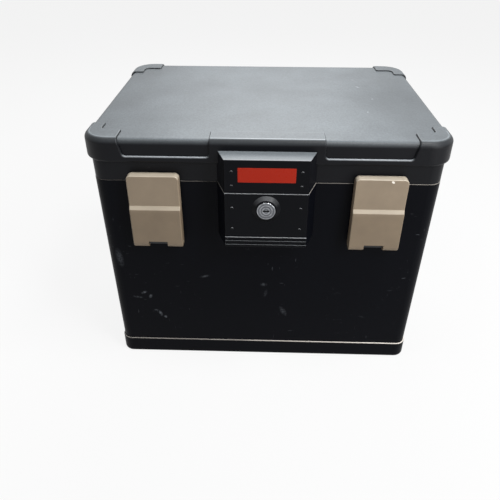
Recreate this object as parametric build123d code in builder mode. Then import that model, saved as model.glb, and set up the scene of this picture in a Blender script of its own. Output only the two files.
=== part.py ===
from build123d import *
from math import radians, tan
import os

# A fire resistant document chest: a double walled body and lid filled with
# insulation, two latches that swing down from the lid, and a cam lock in a housing
# at the middle of the front. All sizes are in millimetres. The origin is the middle
# of the base, on the floor. +Z is up and the front of the chest faces -Y.

# Body
body_width = 450.0  # across the body at the parting line
body_depth = 350.0
parting_height = 303.5  # the body's rim above the floor
body_corner_radius = 18.0
draft_angle = 0.86  # degrees that the moulded walls lean in towards the base
shell_wall = 3.0
band_height = 27.5  # thicker band around the foot of the body
band_proud = 1.8
band_edge_radius = 1.0
base_edge_radius = 5.0
sill_radius = 0.7  # rounding along the body's rim

# Inside of the body
side_wall = 36.0  # insulated wall between the outside and the interior, at the sides
end_wall = 43.0  # the same at the front and the rear
interior_corner_radius = 14.0
floor_height = 34.0  # the inside floor above the ground
liner_wall = 2.5
flange_thickness = 3.0  # rim of the liner between the inside and the outer shell
upstand_height = 8.0  # lip around the opening that stands up into the lid
upstand_width = 6.0
plug_radius = 15.0  # plugs that close the filling holes in the base
plug_flange_radius = 20.0
plug_flange_depth = 1.5
plug_inset = 115.0  # from the body's side to the middle of a plug

# Lid
parting_gap = 0.6
lid_height = 56.5  # the lid's panel above the parting line
skirt_inset = 0.3  # step between the lid's skirt and the body's rim
rim_overhang_side = 8.0  # how far the lid's rim stands out from the body
rim_overhang_front = 6.0
rim_height = 30.0
rim_corner_radius = 34.0
rim_foot_radius = 4.0
panel_recess_side = 1.8  # how far the panel's edges lie behind the rim
panel_recess_front = 3.4
panel_drop = 21.5  # the panel wraps down over the edge by this much
panel_edge_radius = 8.0
panel_corner_fillet = 5.0  # lower corners of the wrapped edges
cap_rise = 2.0  # corner caps above the panel
cap_edge_radius = 8.0
cap_arm_front = 47.0  # arm of a corner cap along the front, from the lid's side
cap_arm_front_depth = 33.0
cap_arm_side = 57.5  # arm of a corner cap along the side, from the lid's front
cap_arm_side_width = 21.0
cap_lean = 14.0  # degrees that the caps' inner walls lean out towards their foot
cap_corner_radius = 2.5
cap_elbow_radius = 8.0  # inner corner between a cap's arms
block_width = 143.6  # raised block above the lock housing
block_depth = 31.0
lip_radius = 1.6  # rounding along the caps, the block and the rim's ledge
sharp_angle = 30.0  # faces that meet at a larger angle than this make a sharp edge

# Inside of the lid
groove_clearance = 3.0  # between the upstand and the lid's liner, on each side
gasket_gap = 0.3  # between the gasket and the upstand at rest
gasket_height = 4.2
gasket_margin = 1.5  # gasket's edge to the liner's step
ceiling_rise = 6.0  # the lid's ceiling above the gasket's seat

# Lock housing on the front
nose_root_width = 126.8
nose_front_width = 104.0
nose_depth = 33.0
nose_drop = 77.5  # its underside below the parting line
nose_shelf_drop = 12.0  # its top below the lid's panel
nose_wall = 3.0
plate_thickness = 3.0
plate_edge_radius = 0.7
groove_count = 3  # grip lines at the foot of the lock plate
groove_pitch = 5.6
groove_height = 2.2
groove_depth = 1.8
groove_start = 14.5  # uppermost line above the housing's underside
badge_width = 70.6
badge_height = 19.0
badge_thickness = 0.9
badge_pocket = 0.5
badge_corner_radius = 0.8
badge_edge_radius = 0.3
badge_drop = 31.6  # middle of the badge below the lid's panel
stud_radius = 1.4
stud_head_radius = 2.0
stud_head_rise = 0.6
stud_edge_radius = 0.4
stud_spread = 86.0
upper_stud_drops = (27.8, 46.6)  # below the lid's panel
lower_stud_drops = (20.5, 50.2)  # below the parting line

# Cam lock
lock_drop = 20.7  # the lock's axis below the parting line
boss_radius = 18.0
boss_top_radius = 13.4
boss_rise = 4.0
boss_edge_radius = 0.9
barrel_radius = 9.0
bezel_radius = 11.7
bezel_thickness = 2.2
bezel_edge_radius = 0.9
barrel_length = 18.0  # behind the bezel
core_radius = 6.5
core_head_radius = 8.2
core_head_depth = 1.6
core_recess = 0.4  # the core's face behind the bezel's face
core_ring_radius = 6.4
core_ring_width = 0.6
core_ring_depth = 0.3
keyway_width = 8.4
keyway_height = 2.0
keyway_depth = 9.0
nut_flats = 22.0
nut_thickness = 4.0
cam_thickness = 2.5
cam_length = 20.0
cam_width = 8.0
cam_hub_radius = 7.5
cam_gap = 0.3
cam_screw_radius = 1.5
cam_screw_depth = 6.0
cam_screw_head_radius = 3.6
cam_screw_head = 2.4
running_clearance = 0.05

# Strike that hangs from the lid beside the cam
strike_thickness = 2.5
strike_width = 7.0
strike_reach = 1.5  # the strike's leg beyond the turned cam
strike_lip_gap = 0.5  # the strike's lip below the turned cam
strike_lip_length = 13.0
strike_flange_length = 22.0
strike_bend_radius = 1.0
strike_screw_spread = 9.0
strike_screw_radius = 1.5
strike_screw_head_radius = 2.8
strike_screw_head = 1.8
strike_screw_depth = 2.0

# Latches
latch_inset = 80.6  # from the body's side to the middle of a latch
latch_width = 66.5
latch_top_rise = 12.5  # top of the latch above the parting line
latch_upper_depth = 13.0  # thickness of the upper half
latch_lower_depth = 16.0
latch_step_drop = 42.0  # the step across the front, below the latch's top
latch_step_height = 5.0
latch_step_radius = 1.6
latch_gap = 1.0  # between the latch and the body
latch_wall = 3.0
latch_corner_radius = 6.0
latch_foot_radius = 5.0
latch_foot_margin = 1.5  # keeps the rounded foot corners off the foot's own curve
latch_edge_radius = 1.4
latch_length = 97.5  # from the latch's top down to its pin
notch_width = 26.0
notch_rise = 2.5  # top of the notch above the pin
ear_width = 4.0
ear_rise = 9.0
knuckle_side_gap = 0.3
knuckle_radius = 4.6
latch_pin_radius = 2.0
bracket_thickness = 2.5
bracket_rise = 32.0  # top of the bracket above the pin
bracket_pad = 0.5  # the bracket's seat stands out from the body by this much
bracket_screw_rows = (16.0, 26.0)  # above the pin
catch_width = 48.0
catch_height = 5.5
catch_reach = 7.0  # how far the catch stands out from the body's front
catch_gap = 0.5  # between the catch and the latch's hook
catch_pocket = 1.4
catch_chamfer = 1.2

# Hinges at the rear
hinge_inset = 85.0  # from the body's side to the middle of a hinge
hinge_width = 52.0
hinge_middle_knuckle = 20.0
hinge_knuckle_gap = 0.3
hinge_knuckle_radius = 5.5
hinge_pin_radius = 2.5
hinge_pin_head_radius = 4.0
hinge_pin_head = 1.5
hinge_axis_gap = 8.0  # the pin's middle behind the body
hinge_pad = 1.5
hinge_pad_margin = 2.0
leaf_thickness = 2.5
leaf_clearance = 0.7  # between a leaf and the other leaf's knuckle
body_leaf_height = 36.0
lid_leaf_height = 17.0
hinge_screw_inset = 8.0
screw_radius = 2.0
screw_head_radius = 3.8
screw_grip = 3.2  # how far a screw enters its pad and wall

# Heights and places worked out from the sizes above
front_y = -body_depth / 2
rear_y = body_depth / 2
interior_width = body_width - 2 * side_wall
interior_depth = body_depth - 2 * end_wall
plug_spacing = body_width - 2 * plug_inset
draft_slope = tan(radians(draft_angle))
lid_bottom = parting_height + parting_gap
panel_top = parting_height + lid_height
cap_top = panel_top + cap_rise
rim_bottom = panel_top - rim_height
ledge_height = panel_top - panel_drop
rim_width = body_width + 2 * rim_overhang_side
rim_depth = body_depth + 2 * rim_overhang_front
panel_width = rim_width - 2 * panel_recess_side
panel_depth = rim_depth - 2 * panel_recess_front
panel_corner_radius = rim_corner_radius - panel_recess_front
skirt_width = body_width - 2 * skirt_inset
skirt_depth = body_depth - 2 * skirt_inset
skirt_corner_radius = body_corner_radius - skirt_inset
band_inset = (parting_height - band_height) * draft_slope
band_width = body_width - 2 * band_inset + 2 * band_proud
band_depth = body_depth - 2 * band_inset + 2 * band_proud
band_corner_radius = body_corner_radius - band_inset + band_proud
wall_root = 0.8 * shell_wall  # how deep pads and the lock housing reach into a wall

nose_bottom = parting_height - nose_drop
nose_shelf = panel_top - nose_shelf_drop
nose_front = front_y - nose_depth
plate_back = nose_front + plate_thickness
upper_nose_front = nose_front + skirt_inset
upper_plate_back = plate_back + skirt_inset
stud_places = (-stud_spread / 2, stud_spread / 2)
upper_studs = [(x, panel_top - drop) for x in stud_places for drop in upper_stud_drops]
lower_studs = [(x, parting_height - drop) for x in stud_places for drop in lower_stud_drops]
lock_height = parting_height - lock_drop
boss_face = nose_front - boss_rise
bezel_face = boss_face - bezel_thickness
barrel_back = boss_face + barrel_length
core_face = bezel_face + core_recess
core_back = barrel_back + cam_gap
cam_back = core_back + cam_thickness
cam_middle = core_back + cam_thickness / 2
strike_ceiling = nose_shelf - nose_wall
strike_leg = cam_length + strike_reach
strike_outside = strike_leg + strike_thickness
strike_lip_top = lock_height - cam_width / 2 - strike_lip_gap
strike_lip_bottom = strike_lip_top - strike_thickness
strike_flange_end = strike_leg + strike_flange_length
strike_screw_x = (strike_outside + strike_flange_end) / 2

latch_back = front_y - latch_gap
latch_upper_front = latch_back - latch_upper_depth
latch_lower_front = latch_back - latch_lower_depth
latch_top = parting_height + latch_top_rise
latch_step_top = latch_top - latch_step_drop
latch_step_bottom = latch_step_top - latch_step_height
latch_foot = latch_lower_depth / 2  # the foot is round about the pin
pin_z = latch_top - latch_length
pin_y = latch_back - latch_foot
knuckle_width = notch_width - 2 * knuckle_side_gap
bracket_face = front_y - bracket_pad
bracket_front = bracket_face - bracket_thickness
latch_places = (latch_inset - body_width / 2, body_width / 2 - latch_inset)
bracket_screws = [(x, pin_z + row) for x in latch_places for row in bracket_screw_rows]
catch_top = latch_top - latch_wall - catch_gap
catch_bottom = catch_top - catch_height
catch_back = -skirt_depth / 2 + catch_pocket
catch_front = front_y - catch_reach

hinge_face = rear_y + hinge_pad
leaf_face = hinge_face + leaf_thickness
hinge_y = rear_y + hinge_axis_gap
hinge_z = parting_height + parting_gap / 2
body_leaf_top = hinge_z - hinge_knuckle_radius - leaf_clearance
body_leaf_bottom = body_leaf_top - body_leaf_height
lid_leaf_bottom = hinge_z + hinge_knuckle_radius + leaf_clearance
hinge_places = (hinge_inset - body_width / 2, body_width / 2 - hinge_inset)
hinge_screw_offset = hinge_width / 2 - hinge_screw_inset
hinge_screw_columns = [x + s * hinge_screw_offset for x in hinge_places for s in (-1, 1)]
body_screw_rows = (body_leaf_bottom + hinge_screw_inset, body_leaf_top - hinge_screw_inset)
lid_screw_row = lid_leaf_bottom + lid_leaf_height / 2
body_hinge_screws_at = [(x, z) for x in hinge_screw_columns for z in body_screw_rows]
lid_hinge_screws_at = [(x, lid_screw_row) for x in hinge_screw_columns]

gasket_bottom = parting_height + upstand_height + gasket_gap
gasket_seat = gasket_bottom + gasket_height
ceiling_height = gasket_seat + ceiling_rise
lid_roof = panel_top - shell_wall
groove_grow = upstand_width + groove_clearance  # from the interior out to the groove's wall

edge_tolerance = 0.1  # for picking edges by their place
probe_step = 0.05  # how far beside an edge its side of the solid is tested

on_centre = (Align.CENTER, Align.CENTER, Align.MIN)
inward = (Align.CENTER, Align.CENTER, Align.MAX)
upward = (Align.CENTER, Align.MIN)


def front_plane(y):
    """A plane across the chest at a place along Y, facing the front, with X and Z as its own."""
    return Plane((0, y, 0), x_dir=(1, 0, 0), z_dir=(0, -1, 0))


def rear_plane(y):
    """A plane across the chest at a place along Y, facing the rear. Its own X runs backwards."""
    return Plane((0, y, 0), x_dir=(-1, 0, 0), z_dir=(0, 1, 0))


def interior_outline(grow):
    """The interior's plan, grown on every side."""
    with BuildSketch() as outline:
        RectangleRounded(
            interior_width + 2 * grow,
            interior_depth + 2 * grow,
            interior_corner_radius + grow,
        )
    return outline.sketch


def nose_half_width(y):
    """Half the lock housing's width at a place along Y: its flanks lean in to the front."""
    lean = (nose_root_width - nose_front_width) / 2 / nose_depth
    return nose_root_width / 2 - lean * (front_y - y)


def nose_outline(back, front, inset):
    """The lock housing's plan between two places along Y, its flanks drawn in by an inset."""
    half_back = nose_half_width(back) - inset
    half_front = nose_half_width(front) - inset
    with BuildSketch() as outline:
        with BuildLine():
            Polyline(
                (-half_back, back),
                (half_back, back),
                (half_front, front),
                (-half_front, front),
                close=True,
            )
        make_face()
    return outline.sketch


def sharp_edges(part, bottom):
    """The outward edges above a height where two faces meet at a clear angle."""
    sharp = ShapeList()
    faces = part.faces()
    for edge in part.edges().filter_by(lambda candidate: candidate.center().Z > bottom):
        middle = edge.position_at(0.5)
        normals = [face.normal_at(middle) for face in faces if edge in face.edges()]
        if len(normals) < 2 or normals[0].get_angle(normals[1]) < sharp_angle:
            continue
        if not part.is_inside(middle + probe_step * (normals[0] - normals[1])):
            sharp.append(edge)
    return sharp


def finish(piece, name):
    """Names a finished piece and writes its file."""
    piece.part.label = name
    export_step(piece.part, f"parts/{name}.step")


os.makedirs("parts", exist_ok=True)

# Room inside the body's outer shell, which the insulation and the liner share
with BuildPart() as body_room:
    with BuildSketch(Plane.XY.offset(parting_height)):
        RectangleRounded(
            body_width - 2 * shell_wall,
            body_depth - 2 * shell_wall,
            body_corner_radius - shell_wall,
        )
    extrude(amount=-(parting_height - shell_wall), taper=draft_angle)

# Body shell: an open tub with a band at its foot, the lower half of the lock
# housing, and seats for the latch brackets and the hinges
with BuildPart() as body_shell:
    with BuildSketch(Plane.XY.offset(parting_height)):
        RectangleRounded(body_width, body_depth, body_corner_radius)
    extrude(amount=-(parting_height - band_height / 2), taper=draft_angle)
    with BuildSketch():
        RectangleRounded(band_width, band_depth, band_corner_radius)
    extrude(amount=band_height)
    band_shoulder = body_shell.faces().filter_by_position(
        Axis.Z, band_height - probe_step, band_height + probe_step
    )[0]
    fillet(band_shoulder.outer_wire().edges(), band_edge_radius)
    foot_edges = body_shell.faces().sort_by(Axis.Z)[0].edges()
    fillet(foot_edges, base_edge_radius)
    with BuildSketch(Plane.XY.offset(nose_bottom)):
        add(nose_outline(front_y + wall_root, plate_back, 0))
    extrude(amount=parting_height - nose_bottom)
    with BuildSketch(front_plane(bracket_face)):
        with Locations(*[(x, pin_z - knuckle_radius) for x in latch_places]):
            Rectangle(knuckle_width, knuckle_radius + bracket_rise, align=upward)
    extrude(amount=-bracket_pad - wall_root)
    with BuildSketch(rear_plane(hinge_face)):
        with Locations(*[(x, body_leaf_bottom - hinge_pad_margin) for x in hinge_places]):
            Rectangle(
                hinge_width + 2 * hinge_pad_margin,
                body_leaf_height + 2 * hinge_pad_margin,
                align=upward,
            )
    extrude(amount=-hinge_pad - wall_root)
    add(body_room.part, mode=Mode.SUBTRACT)
    with BuildSketch(Plane.XY.offset(nose_bottom + nose_wall)):
        add(nose_outline(front_y, plate_back + nose_wall, nose_wall))
    extrude(amount=parting_height - nose_bottom - nose_wall, mode=Mode.SUBTRACT)
    rim_edges = body_shell.faces().sort_by(Axis.Z)[-1].outer_wire().edges()
    fillet(rim_edges, sill_radius)
    with Locations(Plane((0, 0, 0), z_dir=(0, 0, -1))):
        with GridLocations(plug_spacing, 0, 2, 1):
            CounterBoreHole(plug_radius, plug_flange_radius, plug_flange_depth, depth=shell_wall)
    with Locations(front_plane(bracket_face)):
        with Locations(*bracket_screws):
            Hole(screw_radius, depth=screw_grip)
    with Locations(rear_plane(hinge_face)):
        with Locations(*body_hinge_screws_at):
            Hole(screw_radius, depth=screw_grip)
    with Locations(front_plane(plate_back)):
        with Locations((0, lock_height)):
            Hole(barrel_radius, depth=nose_wall)
        with Locations(*lower_studs):
            Hole(stud_radius, depth=nose_wall)
finish(body_shell, "body_shell")

# Plugs that close the two filling holes in the base
with BuildPart() as body_fill_plugs:
    with GridLocations(plug_spacing, 0, 2, 1):
        Cylinder(plug_flange_radius, plug_flange_depth, align=on_centre)
        Cylinder(plug_radius, shell_wall, align=on_centre)
finish(body_fill_plugs, "body_fill_plugs")

# Liner of the body: the inside tub, with a flange out to the shell and a lip
# around the opening
with BuildPart() as body_liner:
    with BuildSketch(Plane.XY.offset(floor_height - liner_wall)):
        add(interior_outline(liner_wall))
    extrude(amount=parting_height - floor_height + liner_wall)
    with BuildSketch(Plane.XY.offset(parting_height)):
        RectangleRounded(
            body_width - 2 * shell_wall,
            body_depth - 2 * shell_wall,
            body_corner_radius - shell_wall,
        )
    extrude(amount=-flange_thickness, taper=draft_angle)
    with BuildSketch(Plane.XY.offset(parting_height)):
        add(interior_outline(upstand_width))
    extrude(amount=upstand_height)
    with BuildSketch(Plane.XY.offset(floor_height)):
        add(interior_outline(0))
    extrude(amount=parting_height + upstand_height - floor_height, mode=Mode.SUBTRACT)
finish(body_liner, "body_liner")

# Insulation cast between the body's shell and its liner
with BuildPart() as body_insulation:
    add(body_room.part)
    with BuildSketch(Plane.XY.offset(parting_height)):
        RectangleRounded(body_width, body_depth, body_corner_radius)
    extrude(amount=-flange_thickness, mode=Mode.SUBTRACT)
    with BuildSketch(Plane.XY.offset(floor_height - liner_wall)):
        add(interior_outline(liner_wall))
    extrude(amount=parting_height - floor_height + liner_wall, mode=Mode.SUBTRACT)
finish(body_insulation, "body_insulation")

# Room inside the lid's shell
with BuildPart() as lid_room:
    with BuildSketch(Plane.XY.offset(lid_bottom)):
        RectangleRounded(
            skirt_width - 2 * shell_wall,
            skirt_depth - 2 * shell_wall,
            skirt_corner_radius - shell_wall,
        )
    extrude(amount=rim_bottom + shell_wall - lid_bottom)
    with BuildSketch(Plane.XY.offset(rim_bottom + shell_wall)):
        RectangleRounded(
            panel_width - 2 * shell_wall,
            panel_depth - 2 * shell_wall,
            panel_corner_radius - shell_wall,
        )
    extrude(amount=lid_roof - rim_bottom - shell_wall)
    fillet(lid_room.faces().sort_by(Axis.Z)[-1].edges(), panel_edge_radius - shell_wall)

# Plan of the four corner caps and of the block above the lock housing, drawn down
# from their tops to the rim's ledge
with BuildPart() as cap_walls:
    with BuildSketch(Plane.XY.offset(cap_top)) as cap_plan:
        with Locations((rim_width / 2, rim_depth / 2)):
            Rectangle(cap_arm_front, cap_arm_front_depth, align=(Align.MAX, Align.MAX))
            Rectangle(cap_arm_side_width, cap_arm_side, align=(Align.MAX, Align.MAX))
        elbow = (rim_width / 2 - cap_arm_side_width, rim_depth / 2 - cap_arm_front_depth)
        fillet(cap_plan.vertices().sort_by_distance(elbow)[0], cap_elbow_radius)
        front_end = (rim_width / 2 - cap_arm_front, rim_depth / 2 - cap_arm_front_depth)
        fillet(cap_plan.vertices().sort_by_distance(front_end)[0], cap_corner_radius)
        side_end = (rim_width / 2 - cap_arm_side_width, rim_depth / 2 - cap_arm_side)
        fillet(cap_plan.vertices().sort_by_distance(side_end)[0], cap_corner_radius)
        mirror(about=Plane.YZ)
        mirror(about=Plane.XZ)
    extrude(amount=ledge_height - cap_top, taper=-cap_lean)
    with BuildSketch(Plane.XY.offset(ledge_height)) as block_plan:
        with Locations((0, -rim_depth / 2)):
            Rectangle(block_width, block_depth, align=upward)
        fillet(block_plan.vertices().group_by(Axis.Y)[-1], cap_corner_radius)
    extrude(amount=cap_top - ledge_height)

# The caps and the block themselves, cut by that plan from one rounded slab
with BuildPart() as lid_frame:
    with BuildSketch(Plane.XY.offset(ledge_height)):
        RectangleRounded(rim_width, rim_depth, rim_corner_radius)
    extrude(amount=cap_top - ledge_height)
    fillet(lid_frame.faces().sort_by(Axis.Z)[-1].edges(), cap_edge_radius)
    add(cap_walls.part, mode=Mode.INTERSECT)

# Lid shell: skirt, rim, wrapped panel, caps and the upper half of the lock housing
with BuildPart() as lid_shell:
    with BuildSketch(Plane.XY.offset(rim_bottom)):
        RectangleRounded(panel_width, panel_depth, panel_corner_radius)
    extrude(amount=rim_height)
    fillet(lid_shell.faces().sort_by(Axis.Z)[-1].edges(), panel_edge_radius)
    with BuildSketch(Plane.XY.offset(rim_bottom)):
        RectangleRounded(rim_width, rim_depth, rim_corner_radius)
    extrude(amount=ledge_height - rim_bottom)
    add(lid_frame.part)
    ledge_corners = (
        lid_shell.edges()
        .filter_by_position(Axis.Z, ledge_height, ledge_height)
        .filter_by(lambda edge: edge.length < 1.2 * panel_recess_front)
    )
    fillet(ledge_corners, panel_corner_fillet)
    fillet(sharp_edges(lid_shell.part, (rim_bottom + ledge_height) / 2), lip_radius)
    fillet(lid_shell.faces().sort_by(Axis.Z)[0].edges(), rim_foot_radius)
    with BuildSketch(Plane.XY.offset(lid_bottom)):
        RectangleRounded(skirt_width, skirt_depth, skirt_corner_radius)
    extrude(amount=rim_bottom + rim_foot_radius - lid_bottom, taper=-draft_angle)
    with BuildSketch(Plane.XY.offset(lid_bottom)):
        add(nose_outline(front_y + wall_root, upper_plate_back, skirt_inset))
    extrude(amount=nose_shelf - lid_bottom)
    with BuildSketch(rear_plane(hinge_face)):
        with Locations(*[(x, lid_leaf_bottom - hinge_pad_margin) for x in hinge_places]):
            Rectangle(
                hinge_width + 2 * hinge_pad_margin,
                rim_bottom + rim_foot_radius - lid_leaf_bottom + hinge_pad_margin,
                align=upward,
            )
    extrude(amount=-hinge_pad - wall_root)
    add(lid_room.part, mode=Mode.SUBTRACT)
    with BuildSketch(Plane.XY.offset(lid_bottom)):
        add(nose_outline(-panel_depth / 2, upper_plate_back + nose_wall, skirt_inset + nose_wall))
    extrude(amount=strike_ceiling - lid_bottom, mode=Mode.SUBTRACT)
    with BuildSketch(front_plane(catch_back)):
        with Locations(*[(x, catch_bottom) for x in latch_places]):
            Rectangle(catch_width, catch_height, align=upward)
    extrude(amount=catch_reach, mode=Mode.SUBTRACT)
    with Locations(rear_plane(hinge_face)):
        with Locations(*lid_hinge_screws_at):
            Hole(screw_radius, depth=screw_grip)
    with Locations(front_plane(upper_plate_back)):
        with Locations(*upper_studs):
            Hole(stud_radius, depth=nose_wall)
    with Locations(Plane.XY.offset(strike_ceiling)):
        with Locations((strike_screw_x, cam_middle)):
            with GridLocations(strike_screw_spread, 0, 2, 1):
                Hole(strike_screw_radius, depth=strike_screw_depth)
finish(lid_shell, "lid_shell")

# Outside of the lid's liner: a land under the skirt, a step over the gasket and the
# ceiling, used for the liner itself and to shape the insulation above it
with BuildPart() as lid_liner_outside:
    with BuildSketch(Plane.XY.offset(lid_bottom)):
        RectangleRounded(
            skirt_width - 2 * shell_wall,
            skirt_depth - 2 * shell_wall,
            skirt_corner_radius - shell_wall,
        )
    extrude(amount=liner_wall)
    with BuildSketch(Plane.XY.offset(lid_bottom)):
        add(interior_outline(groove_grow + liner_wall))
    extrude(amount=gasket_seat + liner_wall - lid_bottom)
    with BuildSketch(Plane.XY.offset(lid_bottom)):
        add(interior_outline(liner_wall - groove_clearance))
    extrude(amount=ceiling_height + liner_wall - lid_bottom)

# Liner of the lid
with BuildPart() as lid_liner:
    add(lid_liner_outside.part)
    with BuildSketch(Plane.XY.offset(lid_bottom)):
        add(interior_outline(groove_grow))
    extrude(amount=gasket_seat - lid_bottom, mode=Mode.SUBTRACT)
    with BuildSketch(Plane.XY.offset(lid_bottom)):
        add(interior_outline(-groove_clearance))
    extrude(amount=ceiling_height - lid_bottom, mode=Mode.SUBTRACT)
finish(lid_liner, "lid_liner")

# Insulation cast into the lid
with BuildPart() as lid_insulation:
    add(lid_room.part)
    add(lid_liner_outside.part, mode=Mode.SUBTRACT)
finish(lid_insulation, "lid_insulation")

# Rubber gasket that seals on the body's lip
with BuildPart() as lid_gasket:
    with BuildSketch(Plane.XY.offset(gasket_bottom)):
        add(interior_outline(groove_grow - gasket_margin))
        add(interior_outline(gasket_margin - groove_clearance), mode=Mode.SUBTRACT)
    extrude(amount=gasket_height)
finish(lid_gasket, "lid_gasket")

# Face plate of the upper half of the lock housing, with a pocket for the badge
with BuildPart() as badge_plate:
    with BuildSketch(Plane.XY.offset(lid_bottom)):
        add(nose_outline(upper_plate_back, upper_nose_front, skirt_inset))
    extrude(amount=nose_shelf - lid_bottom)
    fillet(badge_plate.faces().sort_by(Axis.Y)[0].edges(), plate_edge_radius)
    with BuildSketch(front_plane(upper_nose_front)):
        with Locations((0, panel_top - badge_drop)):
            RectangleRounded(badge_width, badge_height, badge_corner_radius)
    extrude(amount=-badge_pocket, mode=Mode.SUBTRACT)
    with Locations(front_plane(upper_nose_front)):
        with Locations(*upper_studs):
            Hole(stud_radius, depth=plate_thickness)
finish(badge_plate, "badge_plate")

# Plain badge
with BuildPart() as badge:
    with BuildSketch(front_plane(upper_nose_front + badge_pocket)):
        with Locations((0, panel_top - badge_drop)):
            RectangleRounded(badge_width, badge_height, badge_corner_radius)
    extrude(amount=badge_thickness)
    fillet(badge.faces().sort_by(Axis.Y)[0].edges(), badge_edge_radius)
finish(badge, "badge")

# Face plate of the lower half, with grip lines and a raised boss round the lock
with BuildPart() as lock_plate:
    with BuildSketch(Plane.XY.offset(nose_bottom)):
        add(nose_outline(plate_back, nose_front, 0))
    extrude(amount=parting_height - nose_bottom)
    fillet(lock_plate.faces().sort_by(Axis.Y)[0].edges(), plate_edge_radius)
    with BuildSketch(front_plane(nose_front)):
        for line in range(groove_count):
            with Locations((0, nose_bottom + groove_start - line * groove_pitch)):
                Rectangle(nose_root_width, groove_height, align=upward)
    extrude(amount=-groove_depth, mode=Mode.SUBTRACT)
    with Locations(front_plane(nose_front)):
        with Locations((0, lock_height)):
            Cone(boss_radius, boss_top_radius, boss_rise, align=on_centre)
    fillet(lock_plate.edges().sort_by(Axis.Y)[0], boss_edge_radius)
    with Locations(front_plane(boss_face)):
        with Locations((0, lock_height)):
            Hole(barrel_radius, depth=boss_rise + plate_thickness)
    with Locations(front_plane(nose_front)):
        with Locations(*lower_studs):
            Hole(stud_radius, depth=plate_thickness)
finish(lock_plate, "lock_plate")

# Studs that hold the two face plates
for name, face, places in (
    ("badge_plate_studs", upper_nose_front, upper_studs),
    ("lock_plate_studs", nose_front, lower_studs),
):
    with BuildPart() as studs:
        with Locations(front_plane(face)):
            with Locations(*places):
                Cylinder(stud_radius, plate_thickness + nose_wall, align=inward)
                Cylinder(stud_head_radius, stud_head_rise, align=on_centre)
        fillet(studs.edges().group_by(Axis.Y)[0], stud_edge_radius)
    finish(studs, name)

# Barrel of the lock, fixed in the lock plate
with BuildPart() as lock_barrel:
    with Locations(front_plane(boss_face)):
        with Locations((0, lock_height)):
            Cylinder(barrel_radius, barrel_length, align=inward)
            Cylinder(bezel_radius, bezel_thickness, align=on_centre)
    fillet(lock_barrel.edges().sort_by(Axis.Y)[0], bezel_edge_radius)
    with Locations(front_plane(bezel_face)):
        with Locations((0, lock_height)):
            CounterBoreHole(
                core_radius + running_clearance,
                core_head_radius + running_clearance,
                core_recess + core_head_depth + running_clearance,
            )
finish(lock_barrel, "lock_barrel")

# Nut behind the housing's wall
with BuildPart() as lock_nut:
    with BuildSketch(front_plane(plate_back + nose_wall)):
        with Locations((0, lock_height)):
            RegularPolygon(nut_flats / 2, 6, major_radius=False)
            Circle(barrel_radius, mode=Mode.SUBTRACT)
    extrude(amount=-nut_thickness)
finish(lock_nut, "lock_nut")

# Core of the lock, which the key turns
with BuildPart() as lock_core:
    with Locations(front_plane(core_face)):
        with Locations((0, lock_height)):
            Cylinder(core_head_radius, core_head_depth, align=inward)
            Cylinder(core_radius, core_back - core_face, align=inward)
    with BuildSketch(front_plane(core_face)):
        with Locations((0, lock_height)):
            Circle(core_ring_radius + core_ring_width / 2)
            Circle(core_ring_radius - core_ring_width / 2, mode=Mode.SUBTRACT)
    extrude(amount=-core_ring_depth, mode=Mode.SUBTRACT)
    with BuildSketch(front_plane(core_face)):
        with Locations((0, lock_height)):
            Rectangle(keyway_width, keyway_height)
    extrude(amount=-keyway_depth, mode=Mode.SUBTRACT)
    with Locations(rear_plane(core_back)):
        with Locations((0, lock_height)):
            Hole(cam_screw_radius, depth=cam_screw_depth)
finish(lock_core, "lock_core")

# Cam on the core's back end, which stands up while the lock is open
with BuildPart() as lock_cam:
    with BuildSketch(front_plane(core_back)):
        with Locations((0, lock_height)):
            Circle(cam_hub_radius)
            Rectangle(cam_width, cam_length, align=upward)
            Circle(cam_screw_radius, mode=Mode.SUBTRACT)
    extrude(amount=-cam_thickness)
finish(lock_cam, "lock_cam")

with BuildPart() as cam_screw:
    with Locations(rear_plane(cam_back)):
        with Locations((0, lock_height)):
            Cylinder(cam_screw_radius, cam_thickness + cam_screw_depth, align=inward)
            Cylinder(cam_screw_head_radius, cam_screw_head, align=on_centre)
finish(cam_screw, "cam_screw")

# Strike: a bent hook that hangs from the lid. The turned cam lies over its lip
with BuildPart() as lock_strike:
    with BuildSketch(front_plane(cam_middle)) as strike_outline:
        with BuildLine():
            Polyline(
                (strike_leg, strike_lip_top),
                (strike_outside - strike_lip_length, strike_lip_top),
                (strike_outside - strike_lip_length, strike_lip_bottom),
                (strike_outside, strike_lip_bottom),
                (strike_outside, strike_ceiling - strike_thickness),
                (strike_flange_end, strike_ceiling - strike_thickness),
                (strike_flange_end, strike_ceiling),
                (strike_leg, strike_ceiling),
                close=True,
            )
        make_face()
        bends = strike_outline.vertices().filter_by(
            lambda corner: corner.X in (strike_leg, strike_outside)
        )
        fillet(bends, strike_bend_radius)
    extrude(amount=strike_width / 2, both=True)
    with Locations(Plane.XY.offset(strike_ceiling)):
        with Locations((strike_screw_x, cam_middle)):
            with GridLocations(strike_screw_spread, 0, 2, 1):
                Hole(strike_screw_radius, depth=strike_thickness)
finish(lock_strike, "lock_strike")

with BuildPart() as strike_screws:
    with Locations(Plane((0, 0, strike_ceiling - strike_thickness), z_dir=(0, 0, 1))):
        with Locations((strike_screw_x, cam_middle)):
            with GridLocations(strike_screw_spread, 0, 2, 1):
                Cylinder(
                    strike_screw_radius, strike_thickness + strike_screw_depth, align=on_centre
                )
                Cylinder(strike_screw_head_radius, strike_screw_head, align=inward)
finish(strike_screws, "strike_screws")

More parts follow.
